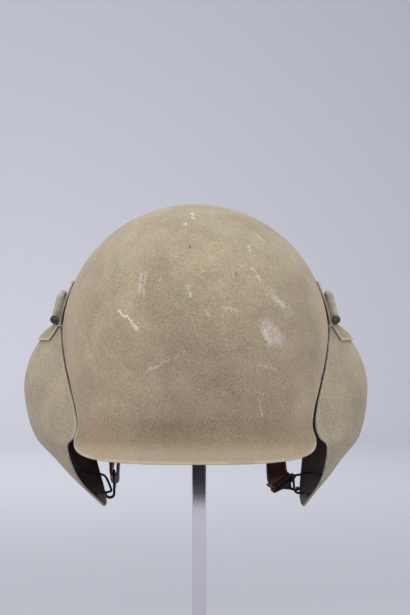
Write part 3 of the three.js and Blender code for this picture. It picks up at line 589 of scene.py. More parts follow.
def gritty_lacquer(name, olive, tan, umber, dome=False, edge_wear=0.5):
    """Matt lacquer with grit: rough all over, dull, pale where rubbed and worn along its edges."""
    material, tree, shader = new_material(name)
    place = add_node(tree, COORDS).outputs["Object"]
    blotches = add_node(tree, NOISE, {"Vector": place, "Scale": per_metre(BLOTCH_MM), "Detail": 3.0})
    streaks = add_node(tree, NOISE, {"Vector": place, "Scale": per_metre(STREAK_MM), "Detail": 3.0})
    clouds = add_node(tree, NOISE, {
        "Vector": place, "Scale": per_metre(CLOUD_MM), "Detail": 5.0, "Roughness": 0.6})
    grit = add_node(tree, NOISE, {
        "Vector": place, "Scale": per_metre(GRIT_MM), "Detail": 3.0, "Roughness": 0.7})
    dust = add_node(tree, NOISE, {"Vector": place, "Scale": per_metre(DUST_MM), "Detail": 1.0})

    # The base coat: tan and umber in blotches, greener towards the crown
    blotch = add_node(tree, FIT, {"Value": blotches, "From Min": 0.35, "From Max": 0.65})
    coat = add_node(tree, MIX, {"Factor": blotch, "A": tan, "B": umber}, data_type="RGBA")
    height = add_node(tree, "ShaderNodeSeparateXYZ", {0: place}).outputs["Z"]
    upper = add_node(tree, FIT, {"Value": height, "From Min": GREEN_FROM, "From Max": GREEN_FULL})
    patchy = add_node(tree, FIT, {"Value": streaks, "From Min": 0.35, "From Max": 0.7, "To Min": 0.3})
    greener = add_node(tree, MATH, {0: upper, 1: patchy}, operation="MULTIPLY")
    coat = add_node(tree, MIX, {"Factor": greener, "A": coat, "B": olive}, data_type="RGBA")

    # The light and dark of the grit, of the dust and of the clouds, multiplied
    grain = None
    for source, darkest, lightest in ((grit, 0.72, 1.26), (dust, 0.93, 1.07), (clouds, 0.78, 1.21)):
        shade = add_node(tree, FIT, {
            "Value": source, "From Min": 0.3, "From Max": 0.7, "To Min": darkest, "To Max": lightest})
        grain = shade if grain is None else add_node(tree, MATH, {0: grain, 1: shade}, operation="MULTIPLY")
    grey = add_node(tree, "ShaderNodeCombineColor", {0: grain, 1: grain, 2: grain})
    coat = add_node(tree, MIX, {
        "Factor": 1.0, "A": coat, "B": grey}, data_type="RGBA", blend_type="MULTIPLY")

    # The dome alone: scuffs, stains, painted shade above the flared neck rim and painted light on its lip
    if dome:
        layers = [(strongest_mark(tree, SCUFF_ROWS, place, dust), "#d6d6d3"),
                  (strongest_mark(tree, STAIN_ROWS, place, dust), "#5b4334")]
        # Bands by height alone: painted shade above the neck rim, painted light on the lip
        for start, full, most, colour in PAINTED_LIGHT_BANDS:
            layers.append((add_node(tree, FIT, {
                "Value": height, "From Min": start, "From Max": full, "To Max": most},
                interpolation_type="SMOOTHSTEP"), colour))
        for amount, colour in layers:
            coat = add_node(tree, MIX, {"Factor": amount, "A": coat, "B": colour}, data_type="RGBA")

    # Paint rubbed thin along the edges
    near = add_node(tree, "ShaderNodeAttribute", attribute_name="edge").outputs["Fac"]
    by_edge = add_node(tree, FIT, {
        "Value": near, "From Min": WORN_EDGE_MM, "From Max": 0.0, "To Max": edge_wear})
    in_runs = add_node(tree, FIT, {"Value": streaks, "From Min": 0.35, "From Max": 0.6, "To Min": 0.4})
    rubbed = add_node(tree, MATH, {0: by_edge, 1: in_runs}, operation="MULTIPLY")
    coat = add_node(tree, MIX, {"Factor": rubbed, "A": coat, "B": "#c8c0b2"}, data_type="RGBA")

    relief = add_node(tree, MATH, {0: grit, 1: dust}, operation="ADD")
    bump = add_node(tree, BUMP, {"Strength": 0.6, "Distance": 0.0004, "Height": relief})
    feed(tree, shader, {"Base Color": coat, "Normal": bump, "Roughness": 0.92, "Specular IOR Level": 0.3})
    # Dust on matt paint shows as a pale veil where the surface turns away
    feed(tree, shader, {"Sheen Weight": 0.3, "Sheen Roughness": 0.45, "Sheen Tint": "#ffece6"})
    return material


DOME_LACQUER = gritty_lacquer("gritty_lacquer_dome", "#96917a", "#9e9079", "#938470", dome=True)
PLATE_LACQUER = gritty_lacquer("gritty_lacquer_plates", "#95917b", "#99907b", "#928874", edge_wear=0.8)
HINGE_LACQUER = gritty_lacquer("gritty_lacquer_hinges", "#8d8468", "#96886c", "#887a62", edge_wear=0.7)
BAIL_LACQUER = gritty_lacquer("gritty_lacquer_bails", "#83827a", "#8a877d", "#76736a")
print("dome lacquer nodes", len(DOME_LACQUER.node_tree.nodes))

# %% Dark paint of the inside
RUST_MM, BRUSH_MARK_MM = 22.0, 1.2
FOOT_PAINTED_LIGHT_FROM, FOOT_PAINTED_LIGHT_FULL = 0.172, 0.155     # heights in metres


def inside_paint():
    """Thin dark primer, dull and a little rusty: the inside was never meant to show."""
    material, tree, shader = new_material("dark_primer")
    place = add_node(tree, COORDS).outputs["Object"]
    cloud = add_node(tree, NOISE, {"Vector": place, "Scale": per_metre(RUST_MM), "Detail": 4.0})
    ramp = add_node(tree, "ShaderNodeValToRGB", {0: cloud})
    for element, position, colour in zip(ramp.color_ramp.elements, (0.35, 0.7), ("#382b26", "#52403a")):
        element.position = position
        element.color = linear(colour)
    # Painted light: the primer is painted paler towards the feet of the cheek plates, where light from below
    # falls on the inside
    height = add_node(tree, "ShaderNodeSeparateXYZ", {0: place}).outputs["Z"]
    foot = add_node(tree, FIT, {
        "Value": height, "From Min": FOOT_PAINTED_LIGHT_FROM, "From Max": FOOT_PAINTED_LIGHT_FULL, "To Max": 0.8},
        interpolation_type="SMOOTHSTEP")
    coat = add_node(tree, MIX, {"Factor": foot, "A": ramp, "B": "#857a73"}, data_type="RGBA")
    fine = add_node(tree, NOISE, {"Vector": place, "Scale": per_metre(BRUSH_MARK_MM), "Detail": 2.0})
    bump = add_node(tree, BUMP, {"Strength": 0.4, "Distance": 0.0003, "Height": fine})
    feed(tree, shader, {"Base Color": coat, "Normal": bump, "Roughness": 0.5})
    return material


INSIDE_PRIMER = inside_paint()

# %% [markdown]
# ## The dome
#
# The edge swings up over each ear, so a mesh of meridians would bunch up there, and a boolean cut
# would leave slivers that spoil the shading of a smooth press. Instead, points are spread evenly
# over the dome and along its edge, laid out on a flat map that keeps angles true, and joined there
# into well-shaped triangles. Every point lies on the true surface, and the edge is exact.

# %% The dome's edge
def bezier(a, b, c, d, count):
    """Points along a cubic curve, without its start."""
    out = []
    for k in range(1, count + 1):
        t = k / count
        out.append(tuple(
            (1 - t) ** 3 * a[i] + 3 * (1 - t) ** 2 * t * b[i] + 3 * (1 - t) * t * t * c[i] + t**3 * d[i]
            for i in (0, 1)))
    return out


def through(points, count):
    """Points along a smooth curve through the given ones, without its start."""
    out = []
    for k in range(len(points) - 1):
        p0, p1, p2 = points[max(0, k - 1)], points[k], points[k + 1]
        p3 = points[min(len(points) - 1, k + 2)]
        for step in range(1, count + 1):
            t = step / count
            out.append(tuple(
                0.5 * (2 * p1[i] + (p2[i] - p0[i]) * t + (2 * p0[i] - 5 * p1[i] + 4 * p2[i] - p3[i]) * t * t
                       + (3 * p1[i] - p0[i] - 3 * p2[i] + p3[i]) * t**3) for i in (0, 1)))
    return out


ARCH_Z = 304.5


def ear_arch():
    """The edge over one ear as (y, z), from the neck rim to the brow."""
    path = [(-118, NECK_Z)]
    path += bezier((-118, NECK_Z), (-98, NECK_Z + 0.9), (-70, 203), (-66.6, 217), 32)
    path += through([(-66.6, 217), (-65.9, 225), (-60.6, 240), (-52.8, 254), (-35.2, 280), (-23.5, 295)], 5)
    path += bezier((-23.5, 295), (-19.5, 300.5), (-16, ARCH_Z), (-9, ARCH_Z), 8)
    path += [(y, ARCH_Z) for y in (-4, 1, 6, 11)]
    path += bezier((11, ARCH_Z), (20, ARCH_Z), (26, 301), (31, 296), 8)
    path += through([(31, 296), (45.8, 280), (59, 264)], 6)
    path += bezier((59, 264), (66, 255.5), (72, BROW_Z), (84, BROW_Z), 10)
    return path


MESH_MM = 4.4               # the spacing of points on the dome
FROM_EDGE = 0.55            # points nearer to the edge than this share of the spacing are left out
ABOVE_EDGE = 0.5            # and so are those that don't lie this much above it
GIRTH_BELOW = 1.07          # below the belt the dome is this much longer round than a circle
NECK_COLUMNS, BROW_COLUMNS = 12, 34


def dome_edge():
    """The edge all round as (angle, height), from the middle of the neck by way of the right side."""
    arch = [(dome_angle(y, z), z) for y, z in ear_arch()]
    half = [(mix(-math.pi / 2, arch[0][0], k / NECK_COLUMNS), NECK_Z) for k in range(NECK_COLUMNS)]
    half += arch
    half += [(mix(arch[-1][0], math.pi / 2, k / BROW_COLUMNS), BROW_Z) for k in range(1, BROW_COLUMNS + 1)]
    return half + [(math.pi - angle, z) for angle, z in reversed(half[1:-1])]


def height_after(way):
    """The height reached after going this far down from the crown over the surface."""
    quarter = DOME_RADIUS * math.pi / 2
    return BELT_Z + DOME_RADIUS * math.cos(way / DOME_RADIUS) if way < quarter else BELT_Z - (way - quarter)


def on_map(angle, z):
    """The place on a flat map of the dome that keeps angles true, with the crown at its middle."""
    if z < BELT_Z:
        reach = math.exp((BELT_Z - z) / DOME_RADIUS)
    else:
        reach = math.tan(math.acos(min(1.0, (z - BELT_Z) / DOME_RADIUS)) / 2)
    return Vector((reach * math.cos(angle), reach * math.sin(angle)))


def edge_height(edge, angle):
    """How low the dome reaches at this angle."""
    for (a, low), (b, high) in zip(edge, edge[1:] + [(edge[0][0] + math.tau, edge[0][1])]):
        if a <= angle <= b:
            return mix(low, high, (angle - a) / (b - a)) if b > a else min(low, high)
    return NECK_Z


def dome_sheet():
    """Points spread evenly over the dome, joined into triangles on the flat map."""
    edge = dome_edge()
    guard = search_tree([dome_point(angle, z) for angle, z in edge])
    spots = list(edge)
    ways = int((DOME_RADIUS * math.pi / 2 + BELT_Z - NECK_Z) / MESH_MM)
    for level in range(ways + 1):
        z = height_after(level * MESH_MM)
        ring = math.sin(level * MESH_MM / DOME_RADIUS) if z > BELT_Z else GIRTH_BELOW
        girth = math.tau * DOME_RADIUS * ring
        count = max(1, round(girth / MESH_MM))
        for k in range(count):
            angle = math.tau * (k + 0.5 * (level % 2)) / count - math.pi / 2
            clear = guard.find(dome_point(angle, z))[2] > FROM_EDGE * MESH_MM
            if clear and z > edge_height(edge, angle) + ABOVE_EDGE:
                spots.append((angle, z))
    flat = [on_map(angle, z) for angle, z in spots]
    rim = list(range(len(edge)))
    inside = 1              # keep only the triangles inside the edge
    same_place = 1e-9       # and take two points for one only this close together
    found = delaunay_2d_cdt(flat, [], [rim], inside, same_place)
    source = [origins[0] for origins in found[3]]
    faces = [tuple(source[i] for i in face) for face in found[2]]
    return [dome_point(angle, z) for angle, z in spots], faces, rim


points, faces, rim = dome_sheet()
points, faces, zones, distance = walled(points, faces, rim, WALL)
make_piece("steel_dome", points, faces, [DOME_LACQUER, DOME_LACQUER, INSIDE_PRIMER],
           ["helmet_shell"], zones, {"edge": distance})

# %% [markdown]
# ## The cheek plates
#
# Each plate is a bowl over the ear, pressed from the same sheet. A table gives its two edges and
# the summit of its bulge at each height, and a sine curve rises from either edge to the summit.
# Both plates hang a few millimetres to the same side, which the drift stands for.

# %% Rules for a cheek plate
PLATE_TOP_Z, PLATE_TIP_Z = 303.1, 151.0
PLATE_DRIFT = 7.0
BULGE_POWER = 0.9
PLATE_ROWS = table("z rear_y rear_x front_y front_x out_y out_x", [
    (303.1, -16, 109.3, 17, 109.2, 12, 114.5),
    (299, -20.2, 108.8, 25, 108, 14, 120.5),
    (290, -27, 107.6, 35, 106.3, 15, 129),
    (280, -33.7, 106, 44.3, 103.6, 14, 135),
    (268, -42, 103.5, 54.5, 99.7, 12, 139.3),
    (254, -51.4, 99.7, 65.5, 94.2, 9, 141.2),
    (240, -59, 96.1, 71, 91.6, 8, 140.2),
    (226, -64.4, 94.2, 71, 91, 7, 137.6),
    (216, -65.6, 96.8, 70.3, 90.5, 7, 134.4),
    (210.5, -62.6, 102, 69.6, 90.3, 8, 131.8),
    (203, -55, 102.8, 68, 90, 10, 126),
    (194, -45, 101.8, 65.2, 89, 12, 118),
    (184, -30, 100, 61.6, 87.3, 16, 110.5),
    (174.5, -14, 97, 58, 85.3, 22, 103),
    (165, 5, 92.3, 53.8, 83.5, 30, 94.6),
    (158, 21.5, 88.2, 49.8, 82.6, 36, 88.6),
    (153, 33, 85.4, 46.5, 82.8, 40, 85.4),
    (151, 38.5, 84, 44, 83.2, 41.3, 83.9),
])
SIDES = table("name sign", [("left", -1), ("right", 1)])


def plate_point(sign, share, z):
    """A point on a plate's outer face, share of the way from its rear edge to its front edge."""
    keys = ("rear_y", "rear_x", "front_y", "front_x", "out_y", "out_x")
    rear_y, rear_x, front_y, front_x, out_y, out_x = (column_at(PLATE_ROWS, key, z) for key in keys)
    y = mix(rear_y, front_y, share)
    edge_y, edge_x = (rear_y, rear_x) if y < out_y else (front_y, front_x)
    run = clamp01((y - edge_y) / (out_y - edge_y))
    x = mix(edge_x, out_x, math.sin(run * math.pi / 2) ** BULGE_POWER)
    drift = PLATE_DRIFT * clamp01((PLATE_TOP_Z - z) / (PLATE_TOP_Z - PLATE_TIP_Z)) ** 3
    return Vector((HELMET_X + sign * x + drift, y, z))


SHARE_STEP = 0.02


def plate_offset(sign, share, z, offset):
    """The same point moved along the face's normal: positive is outwards."""
    rear, front = max(0, share - SHARE_STEP), min(1, share + SHARE_STEP)
    along = plate_point(sign, front, z) - plate_point(sign, rear, z)
    low, high = max(PLATE_TIP_Z, z - 1), min(PLATE_TOP_Z, z + 1)
    up = plate_point(sign, share, high) - plate_point(sign, share, low)
    return plate_point(sign, share, z) + along.cross(up).normalized() * sign * offset


def ease(t):
    return 0.5 - 0.5 * math.cos(t * math.pi)


# %% Build a sheet from a grid of points
def grid_sheet(grid, sign):
    """The faces and the rim of a grid whose rows run down and whose columns run towards +Y."""
    rows, columns = len(grid), len(grid[0])
    points = [p for row in grid for p in row]

    def at(r, c):
        return r * columns + c

    faces = [(at(r, c), at(r + 1, c), at(r + 1, c + 1), at(r, c + 1))
             for r in range(rows - 1) for c in range(columns - 1)]
    rim = [at(r, 0) for r in range(rows)] + [at(rows - 1, c) for c in range(1, columns)]
    rim += [at(r, columns - 1) for r in range(rows - 2, -1, -1)]
    rim += [at(0, c) for c in range(columns - 2, 0, -1)]
    if sign < 0:
        faces = [tuple(reversed(face)) for face in faces]
        rim.reverse()
    return points, faces, rim


PLATE_COLUMNS, PLATE_LEVELS = 56, 84
LEVELS_EASED = 0.6          # how much closer the levels lie near the top and the tip

for side in SIDES:
    grid = []
    for r in range(PLATE_LEVELS + 1):
        share = r / PLATE_LEVELS
        z = mix(PLATE_TOP_Z, PLATE_TIP_Z, mix(share, ease(share), LEVELS_EASED))
        grid.append([plate_point(side["sign"], ease(c / PLATE_COLUMNS), z) for c in range(PLATE_COLUMNS + 1)])
    points, faces, rim = grid_sheet(grid, side["sign"])
    points, faces, zones, distance = walled(points, faces, rim, WALL)
    make_piece("ear_plate_" + side["name"], points, faces, [PLATE_LACQUER, PLATE_LACQUER, INSIDE_PRIMER],
               ["cheek_plate_" + side["name"]], zones, {"edge": distance})

# %% [markdown]
# ## Small solids
#
# The hardware is turned, bent or stamped. A turned piece is a profile spun round its axis. A piece
# bent from rod is a round section carried along a curve, which suits Geometry Nodes: the tree takes
# the path's points and rounds both ends. A stamped piece is a flat outline with a thickness.

# %% Turned pieces
def facing_out(points, faces):
    """A closed body's faces, turned round if the sign of its volume says that they point inwards."""
    volume = 0.0
    for face in faces:
        for k in range(1, len(face) - 1):
            volume += points[face[0]].dot(points[face[k]].cross(points[face[k + 1]]))
    return faces if volume > 0 else [tuple(reversed(face)) for face in faces]


def turned(profile, middle, axis, sides=48):
    """A profile of (radius, place along the axis) spun round an axis through the middle.

    A profile that starts and ends at radius 0 makes a solid, and any other closes on itself.
    """
    u, v = Vector((1, 0, 0)), Vector((0, 0, 1) if axis == "Y" else (0, 1, 0))
    along = u.cross(v) * (-1 if axis == "Y" else 1)
    solid = profile[0][0] == 0
    rings, points, faces = [], [], []
    for radius, place in profile:
        if radius == 0:
            rings.append([len(points)] * sides)
            points.append(middle + along * place)
            continue
        rings.append(list(range(len(points), len(points) + sides)))
        for k in range(sides):
            turn = math.tau * k / sides
            points.append(middle + along * place + (u * math.cos(turn) + v * math.sin(turn)) * radius)
    pairs = list(zip(rings, rings[1:])) + ([] if solid else [(rings[-1], rings[0])])
    for here, there in pairs:
        for k in range(sides):
            corners = [here[k], here[(k + 1) % sides], there[(k + 1) % sides], there[k]]
            faces.append(tuple(dict.fromkeys(corners)))
    return points, facing_out(points, faces)


def fused(*solids):
    """Several solids, each as points and faces, as one list of points and one of faces."""
    points, faces = [], []
    for more_points, more_faces in solids:
        start = len(points)
        points += more_points
        faces += [tuple(start + i for i in face) for face in more_faces]
    return points, faces


print("a turned test ring has", len(turned([(1, 0), (2, 0), (2, 1), (1, 1)], Vector(), "Y")[1]), "faces")


# %% Rod bent along a path, by Geometry Nodes
END_LEAST = 0.06            # how thick the rod still is at its very end, as a share


def bent_rod_tree():
    """Mesh edges become a curve, and a round section runs along it, rounded off at both ends."""
    tree = bpy.data.node_groups.new("bent_rod", "GeometryNodeTree")
    for label, kind in (
            ("Geometry", "Geometry"), ("Radius", "Float"), ("Sides", "Int"), ("Finish", "Material")):
        tree.interface.new_socket(label, in_out="INPUT", socket_type="NodeSocket" + kind)
    tree.interface.new_socket("Geometry", in_out="OUTPUT", socket_type="NodeSocketGeometry")
    source = tree.nodes.new("NodeGroupInput").outputs

    path = add_node(tree, "GeometryNodeMeshToCurve", {"Mesh": source["Geometry"]})
    # How far each point is from the nearer end, as a share of the rod's radius
    place = add_node(tree, "GeometryNodeSplineParameter").outputs["Length"]
    whole = add_node(tree, "GeometryNodeSplineLength").outputs["Length"]
    rest = add_node(tree, MATH, {0: whole, 1: place}, operation="SUBTRACT")
    nearer = add_node(tree, MATH, {0: place, 1: rest}, operation="MINIMUM")
    share = add_node(tree, MATH, {0: nearer, 1: source["Radius"]}, operation="DIVIDE", use_clamp=True)
    # A quarter circle rounds the end off: sqrt(1 - (1 - share)^2), never quite to a point
    left = add_node(tree, MATH, {0: 1.0, 1: share}, operation="SUBTRACT")
    squared = add_node(tree, MATH, {0: left, 1: left}, operation="MULTIPLY")
    kept = add_node(tree, MATH, {0: 1.0, 1: squared}, operation="SUBTRACT")
    root = add_node(tree, MATH, {0: kept, 1: 0.5}, operation="POWER")
    round_off = add_node(tree, MATH, {0: root, 1: END_LEAST}, operation="MAXIMUM")
    thick = add_node(tree, MATH, {0: round_off, 1: source["Radius"]}, operation="MULTIPLY")
    section = add_node(tree, "GeometryNodeCurvePrimitiveCircle", {
        "Resolution": source["Sides"], "Radius": 1.0})
    rod = add_node(tree, "GeometryNodeCurveToMesh", {
        "Curve": path, "Profile Curve": section.outputs["Curve"], "Scale": thick, "Fill Caps": True})
    smooth = add_node(tree, "GeometryNodeSetShadeSmooth", {"Geometry": rod, "Shade Smooth": True})
    real = add_node(tree, "GeometryNodeRealizeInstances", {"Geometry": smooth})
    done = add_node(tree, "GeometryNodeSetMaterial", {"Geometry": real, "Material": source["Finish"]})
    add_node(tree, "NodeGroupOutput", {"Geometry": done})
    return tree


BENT_ROD = bent_rod_tree()
END_SHARES = (0.0, 0.06, 0.16, 0.3, 0.5, 0.75, 1.0)
ROUTE_STEPS = 8


def evaluated(holder):
    """An object's finished mesh, after which the object itself is no longer needed."""
    made = bpy.data.meshes.new_from_object(holder.evaluated_get(bpy.context.evaluated_depsgraph_get()))
    holder.modifiers.clear()
    bpy.data.objects.remove(holder)
    return made


def bent_rod(route, radius, finish, sides=24):
    """A mesh of rod along a route in millimetres, with closer points where its ends are rounded."""
    first, last = (
        [end.lerp(after, s * radius / (after - end).length) for s in END_SHARES]
        for end, after in ((route[0], route[1]), (route[-1], route[-2])))
    points = [p * MM for p in first + route[1:-1] + last[::-1]]
    path = bpy.data.meshes.new("path")
    path.from_pydata(points, [(k, k + 1) for k in range(len(points) - 1)], [])
    holder = bpy.data.objects.new("path", path)
    scene.collection.objects.link(holder)
    modifier = holder.modifiers.new("rod", "NODES")
    modifier.node_group = BENT_ROD
    wanted = {"Radius": radius * MM, "Sides": sides, "Finish": finish}
    for socket in BENT_ROD.interface.items_tree:
        if socket.in_out == "INPUT" and socket.name in wanted:
            modifier[socket.identifier] = wanted[socket.name]
    made = evaluated(holder)
    bpy.data.meshes.remove(path)
    return made


def smooth_route(points, steps):
    """Points along a smooth curve through the given ones, its pace set by their distances."""
    ends = [points[0] * 2 - points[1], *points, points[-1] * 2 - points[-2]]
    out = [points[0].copy()]
    for p0, p1, p2, p3 in zip(ends, ends[1:], ends[2:], ends[3:]):
        d0, d1, d2 = (max(1e-4, math.sqrt((b - a).length)) for a, b in ((p0, p1), (p1, p2), (p2, p3)))
        leave = ((p1 - p0) / d0 - (p2 - p0) / (d0 + d1) + (p2 - p1) / d1) * d1
        reach = ((p2 - p1) / d1 - (p3 - p1) / (d1 + d2) + (p3 - p2) / d2) * d1
        for k in range(1, steps + 1):
            t = k / steps
            out.append(p1 * (2 * t**3 - 3 * t**2 + 1) + leave * (t**3 - 2 * t**2 + t)
                       + p2 * (3 * t**2 - 2 * t**3) + reach * (t**3 - t**2))
    return out


print("bent rod nodes", len(BENT_ROD.nodes))


# %% Stamped plates
SIDE_SHARE = 2.2            # a corner takes at most this part of the side next to it, one in so many


def rounded(outline, radius, steps=4):
    """An outline with each corner cut round."""
    out = []
    for k, corner in enumerate(outline):
        corner = Vector(corner)
        sides = [Vector(outline[i]) - corner for i in (k - 1, (k + 1) % len(outline))]
        start, end = (corner + s.normalized() * min(radius, s.length / SIDE_SHARE) for s in sides)
        for step in range(steps + 1):
            t = step / steps
            out.append(start * (1 - t) ** 2 + corner * 2 * t * (1 - t) + end * t * t)
    return out


def stamped(outlines, thickness, rounding):
    """A flat plate cut to the outlines, the first one the outer, with its edges rounded."""
    flat = bpy.data.curves.new("stamped", "CURVE")
    flat.dimensions = "2D"
    flat.fill_mode = "BOTH"
    flat.extrude = thickness / 2 - rounding
    flat.bevel_depth = rounding
    flat.bevel_resolution = 2
    flat.offset = -rounding
    for outline in outlines:
        spline = flat.splines.new("POLY")
        spline.points.add(len(outline) - 1)
        for point, (x, y) in zip(spline.points, outline):
            point.co = (x, y, 0, 1)
        spline.use_cyclic_u = True
    holder = bpy.data.objects.new("stamped", flat)
    scene.collection.objects.link(holder)
    made = evaluated(holder)
    bpy.data.curves.remove(flat)
    return made


SHARP_TURN = math.radians(38)
WELD = 0.000005             # metres


def piece_from(name, meshes, material, stands_for):
    """One piece from several meshes, merged, facing outwards and crisp along its sharp edges."""
    build = bmesh.new()
    for part in meshes:
        build.from_mesh(part)
        bpy.data.meshes.remove(part)
    bmesh.ops.remove_doubles(build, verts=build.verts, dist=WELD)
    bmesh.ops.recalc_face_normals(build, faces=build.faces)
    for face in build.faces:
        face.material_index = 0
    mesh = bpy.data.meshes.new(name)
    build.to_mesh(mesh)
    build.free()
    mesh.materials.append(material)
    mesh.shade_smooth()
    mesh.set_sharp_from_angle(angle=SHARP_TURN)
    return hand_over(name, mesh, stands_for)


# %% [markdown]
# ## The metals, the leather and the rubber
#
# None of the hardware is new. The pins are dark with age, the wire and the hooks are blackened
# steel with a little shine left on it, and the stand is the one bright thing: brushed, then polished.
# The leather is dark with handling and worn to a lighter orange brown along its cut edges.

# %% Metals
SCALE_MM = 0.6
DULLER, SHINIER = 0.12, 0.08


def aged_metal(name, dark, light, roughness, metallic, grain_mm, bump_depth):
    """Oxidised or blackened steel: a dark, uneven skin over metal, dull where the skin is thick."""
    material, tree, shader = new_material(name)
    place = add_node(tree, COORDS).outputs["Object"]
    cloud = add_node(tree, NOISE, {"Vector": place, "Scale": per_metre(grain_mm), "Detail": 4.0})
    share = add_node(tree, FIT, {"Value": cloud, "From Min": 0.35, "From Max": 0.7})
    skin = add_node(tree, MIX, {"Factor": share, "A": dark, "B": light}, data_type="RGBA")
    dull = add_node(tree, FIT, {
        "Value": cloud, "From Min": 0.3, "From Max": 0.7,
        "To Min": roughness + DULLER, "To Max": roughness - SHINIER})
    fine = add_node(tree, NOISE, {"Vector": place, "Scale": per_metre(SCALE_MM), "Detail": 2.0})
    bump = add_node(tree, BUMP, {"Strength": 0.35, "Distance": bump_depth, "Height": fine})
    feed(tree, shader, {"Base Color": skin, "Roughness": dull, "Normal": bump, "Metallic": metallic})
    return material


PIN_STEEL = aged_metal("aged_steel_pins", "#2b2823", "#5b554b", 0.5, 0.7, 2.2, 0.0002)
BLACKENED_STEEL = aged_metal("blackened_steel", "#141417", "#34353a", 0.42, 0.75, 2.6, 0.0001)

BRUSH_MM = 0.35
BRUSH_STRETCH = 60


def polished_steel():
    """Stainless steel, brushed along its length and then polished: bright, with a soft streaky gleam."""
    material, tree, shader = new_material("polished_steel")
    place = add_node(tree, COORDS).outputs["Object"]
    squeeze = add_node(tree, "ShaderNodeMapping", {
        "Vector": place, "Scale": (1.0, 1.0, 1.0 / BRUSH_STRETCH)})
    lines = add_node(tree, NOISE, {"Vector": squeeze, "Scale": per_metre(BRUSH_MM), "Detail": 2.0})
    gleam = add_node(tree, FIT, {
        "Value": lines, "From Min": 0.3, "From Max": 0.7, "To Min": 0.04, "To Max": 0.09})
    bump = add_node(tree, BUMP, {"Strength": 0.08, "Distance": 0.00005, "Height": lines})
    feed(tree, shader, {"Base Color": "#dcd8dc", "Metallic": 1.0, "Roughness": gleam, "Normal": bump})
    return material


POLISHED_STEEL = polished_steel()


# %% Leather and rubber
PORE_MM, RUBBER_PORE_MM = 0.9, 1.1
CREASE_MM = 1.5
HANDLED_MM = 7.0


def strap_leather():
    """Bridle leather: dark, a little waxy, with pores and creases, worn orange brown at its edges."""
    material, tree, shader = new_material("bridle_leather")
    place = add_node(tree, COORDS).outputs["Object"]
    across = add_node(tree, "ShaderNodeAttribute", attribute_name="across").outputs["Fac"]
    along = add_node(tree, "ShaderNodeAttribute", attribute_name="along").outputs["Fac"]
    cloud = add_node(tree, NOISE, {"Vector": place, "Scale": per_metre(HANDLED_MM), "Detail": 4.0})
    share = add_node(tree, FIT, {"Value": cloud, "From Min": 0.35, "From Max": 0.7})
    hide = add_node(tree, MIX, {"Factor": share, "A": "#2c130e", "B": "#4d2216"}, data_type="RGBA")

    # The edges are worn, more in some places than in others
    side = add_node(tree, MATH, {0: across}, operation="ABSOLUTE")
    at_edge = add_node(tree, FIT, {"Value": side, "From Min": 0.78, "From Max": 1.0})
    patch = add_node(tree, FIT, {"Value": cloud, "From Min": 0.3, "From Max": 0.6, "To Min": 0.35})
    worn = add_node(tree, MATH, {0: at_edge, 1: patch}, operation="MULTIPLY")
    hide = add_node(tree, MIX, {"Factor": worn, "A": hide, "B": "#8a4a2b"}, data_type="RGBA")

    # Pores all over, and creases across the strap
    pores = add_node(tree, "ShaderNodeTexVoronoi", {"Vector": place, "Scale": per_metre(PORE_MM)},
                     feature="SMOOTH_F1").outputs["Distance"]
    width = add_node(tree, MATH, {0: across, 1: 0.6}, operation="MULTIPLY")
    lengthwise = add_node(tree, "ShaderNodeCombineXYZ", {0: along, 1: width})
    creases = add_node(tree, NOISE, {"Vector": lengthwise, "Scale": 1.0 / CREASE_MM, "Detail": 3.0})
    both = add_node(tree, MATH, {0: creases, 1: 0.9, 2: pores}, operation="MULTIPLY_ADD")
    bump = add_node(tree, BUMP, {"Strength": 0.5, "Distance": 0.00025, "Height": both})
    gloss = add_node(tree, FIT, {
        "Value": cloud, "From Min": 0.3, "From Max": 0.7, "To Min": 0.42, "To Max": 0.62})
    feed(tree, shader, {"Base Color": hide, "Normal": bump, "Roughness": gloss})
    return material


def pad_rubber():
    """Black cellular rubber: no gloss at all, with fine open pores."""
    material, tree, shader = new_material("cellular_rubber")
    place = add_node(tree, COORDS).outputs["Object"]
    pores = add_node(tree, "ShaderNodeTexVoronoi", {
        "Vector": place, "Scale": per_metre(RUBBER_PORE_MM)}).outputs["Distance"]
    tone = add_node(tree, FIT, {"Value": pores, "From Min": 0.0, "From Max": 0.6})
    skin = add_node(tree, MIX, {"Factor": tone, "A": "#1a1a1b", "B": "#333335"}, data_type="RGBA")
    bump = add_node(tree, BUMP, {"Strength": 0.5, "Distance": 0.0003, "Height": pores})
    feed(tree, shader, {"Base Color": skin, "Normal": bump, "Roughness": 0.95})
    return material


LEATHER = strap_leather()
RUBBER = pad_rubber()
print("materials", len(bpy.data.materials))

# %% [markdown]
# ## The hinges
#
# Over each ear a strap hinge carries the cheek plate. Its upper leaf lies on the dome and rolls into
# two knuckles, its lower leaf lies on the plate and rolls into the one between them, and a headed
# pin runs through all three. A bail of thick rod has its eyes on the same pin. Each leaf follows the
# steel that it lies on, so it is a walled sheet again, with its knuckles fused to it.

# %% Sizes of the hinges
PIN_X, PIN_Z, HINGE_Y = 113.6, 308.3, -1.0
PIN_RADIUS, BORE_RADIUS, KNUCKLE_RADIUS, KNUCKLE_SOFT = 1.5, 1.8, 3.4, 0.45
LEAF_WIDTH, LEAF_THICK = 40.0, 1.7
LEAF_TOP_Z, LEAF_FOOT_Z = 340.0, 290.5
OUTER_KNUCKLE = 12.0
GAP = 0.3
EYE_LENGTH = 5.8
BAIL_RADIUS, BAIL_HEIGHT, BAIL_LEAN = 2.7, 20.5, 5.0
PIN_HEAD_RADIUS, PIN_HEAD_THICK = 3.3, 1.4
HINGE_REAR, HINGE_FRONT = HINGE_Y - LEAF_WIDTH / 2, HINGE_Y + LEAF_WIDTH / 2


def on_pin(sign, y=0.0):
    """A place on a hinge's axis."""
    return Vector((HELMET_X + sign * PIN_X, y, PIN_Z))


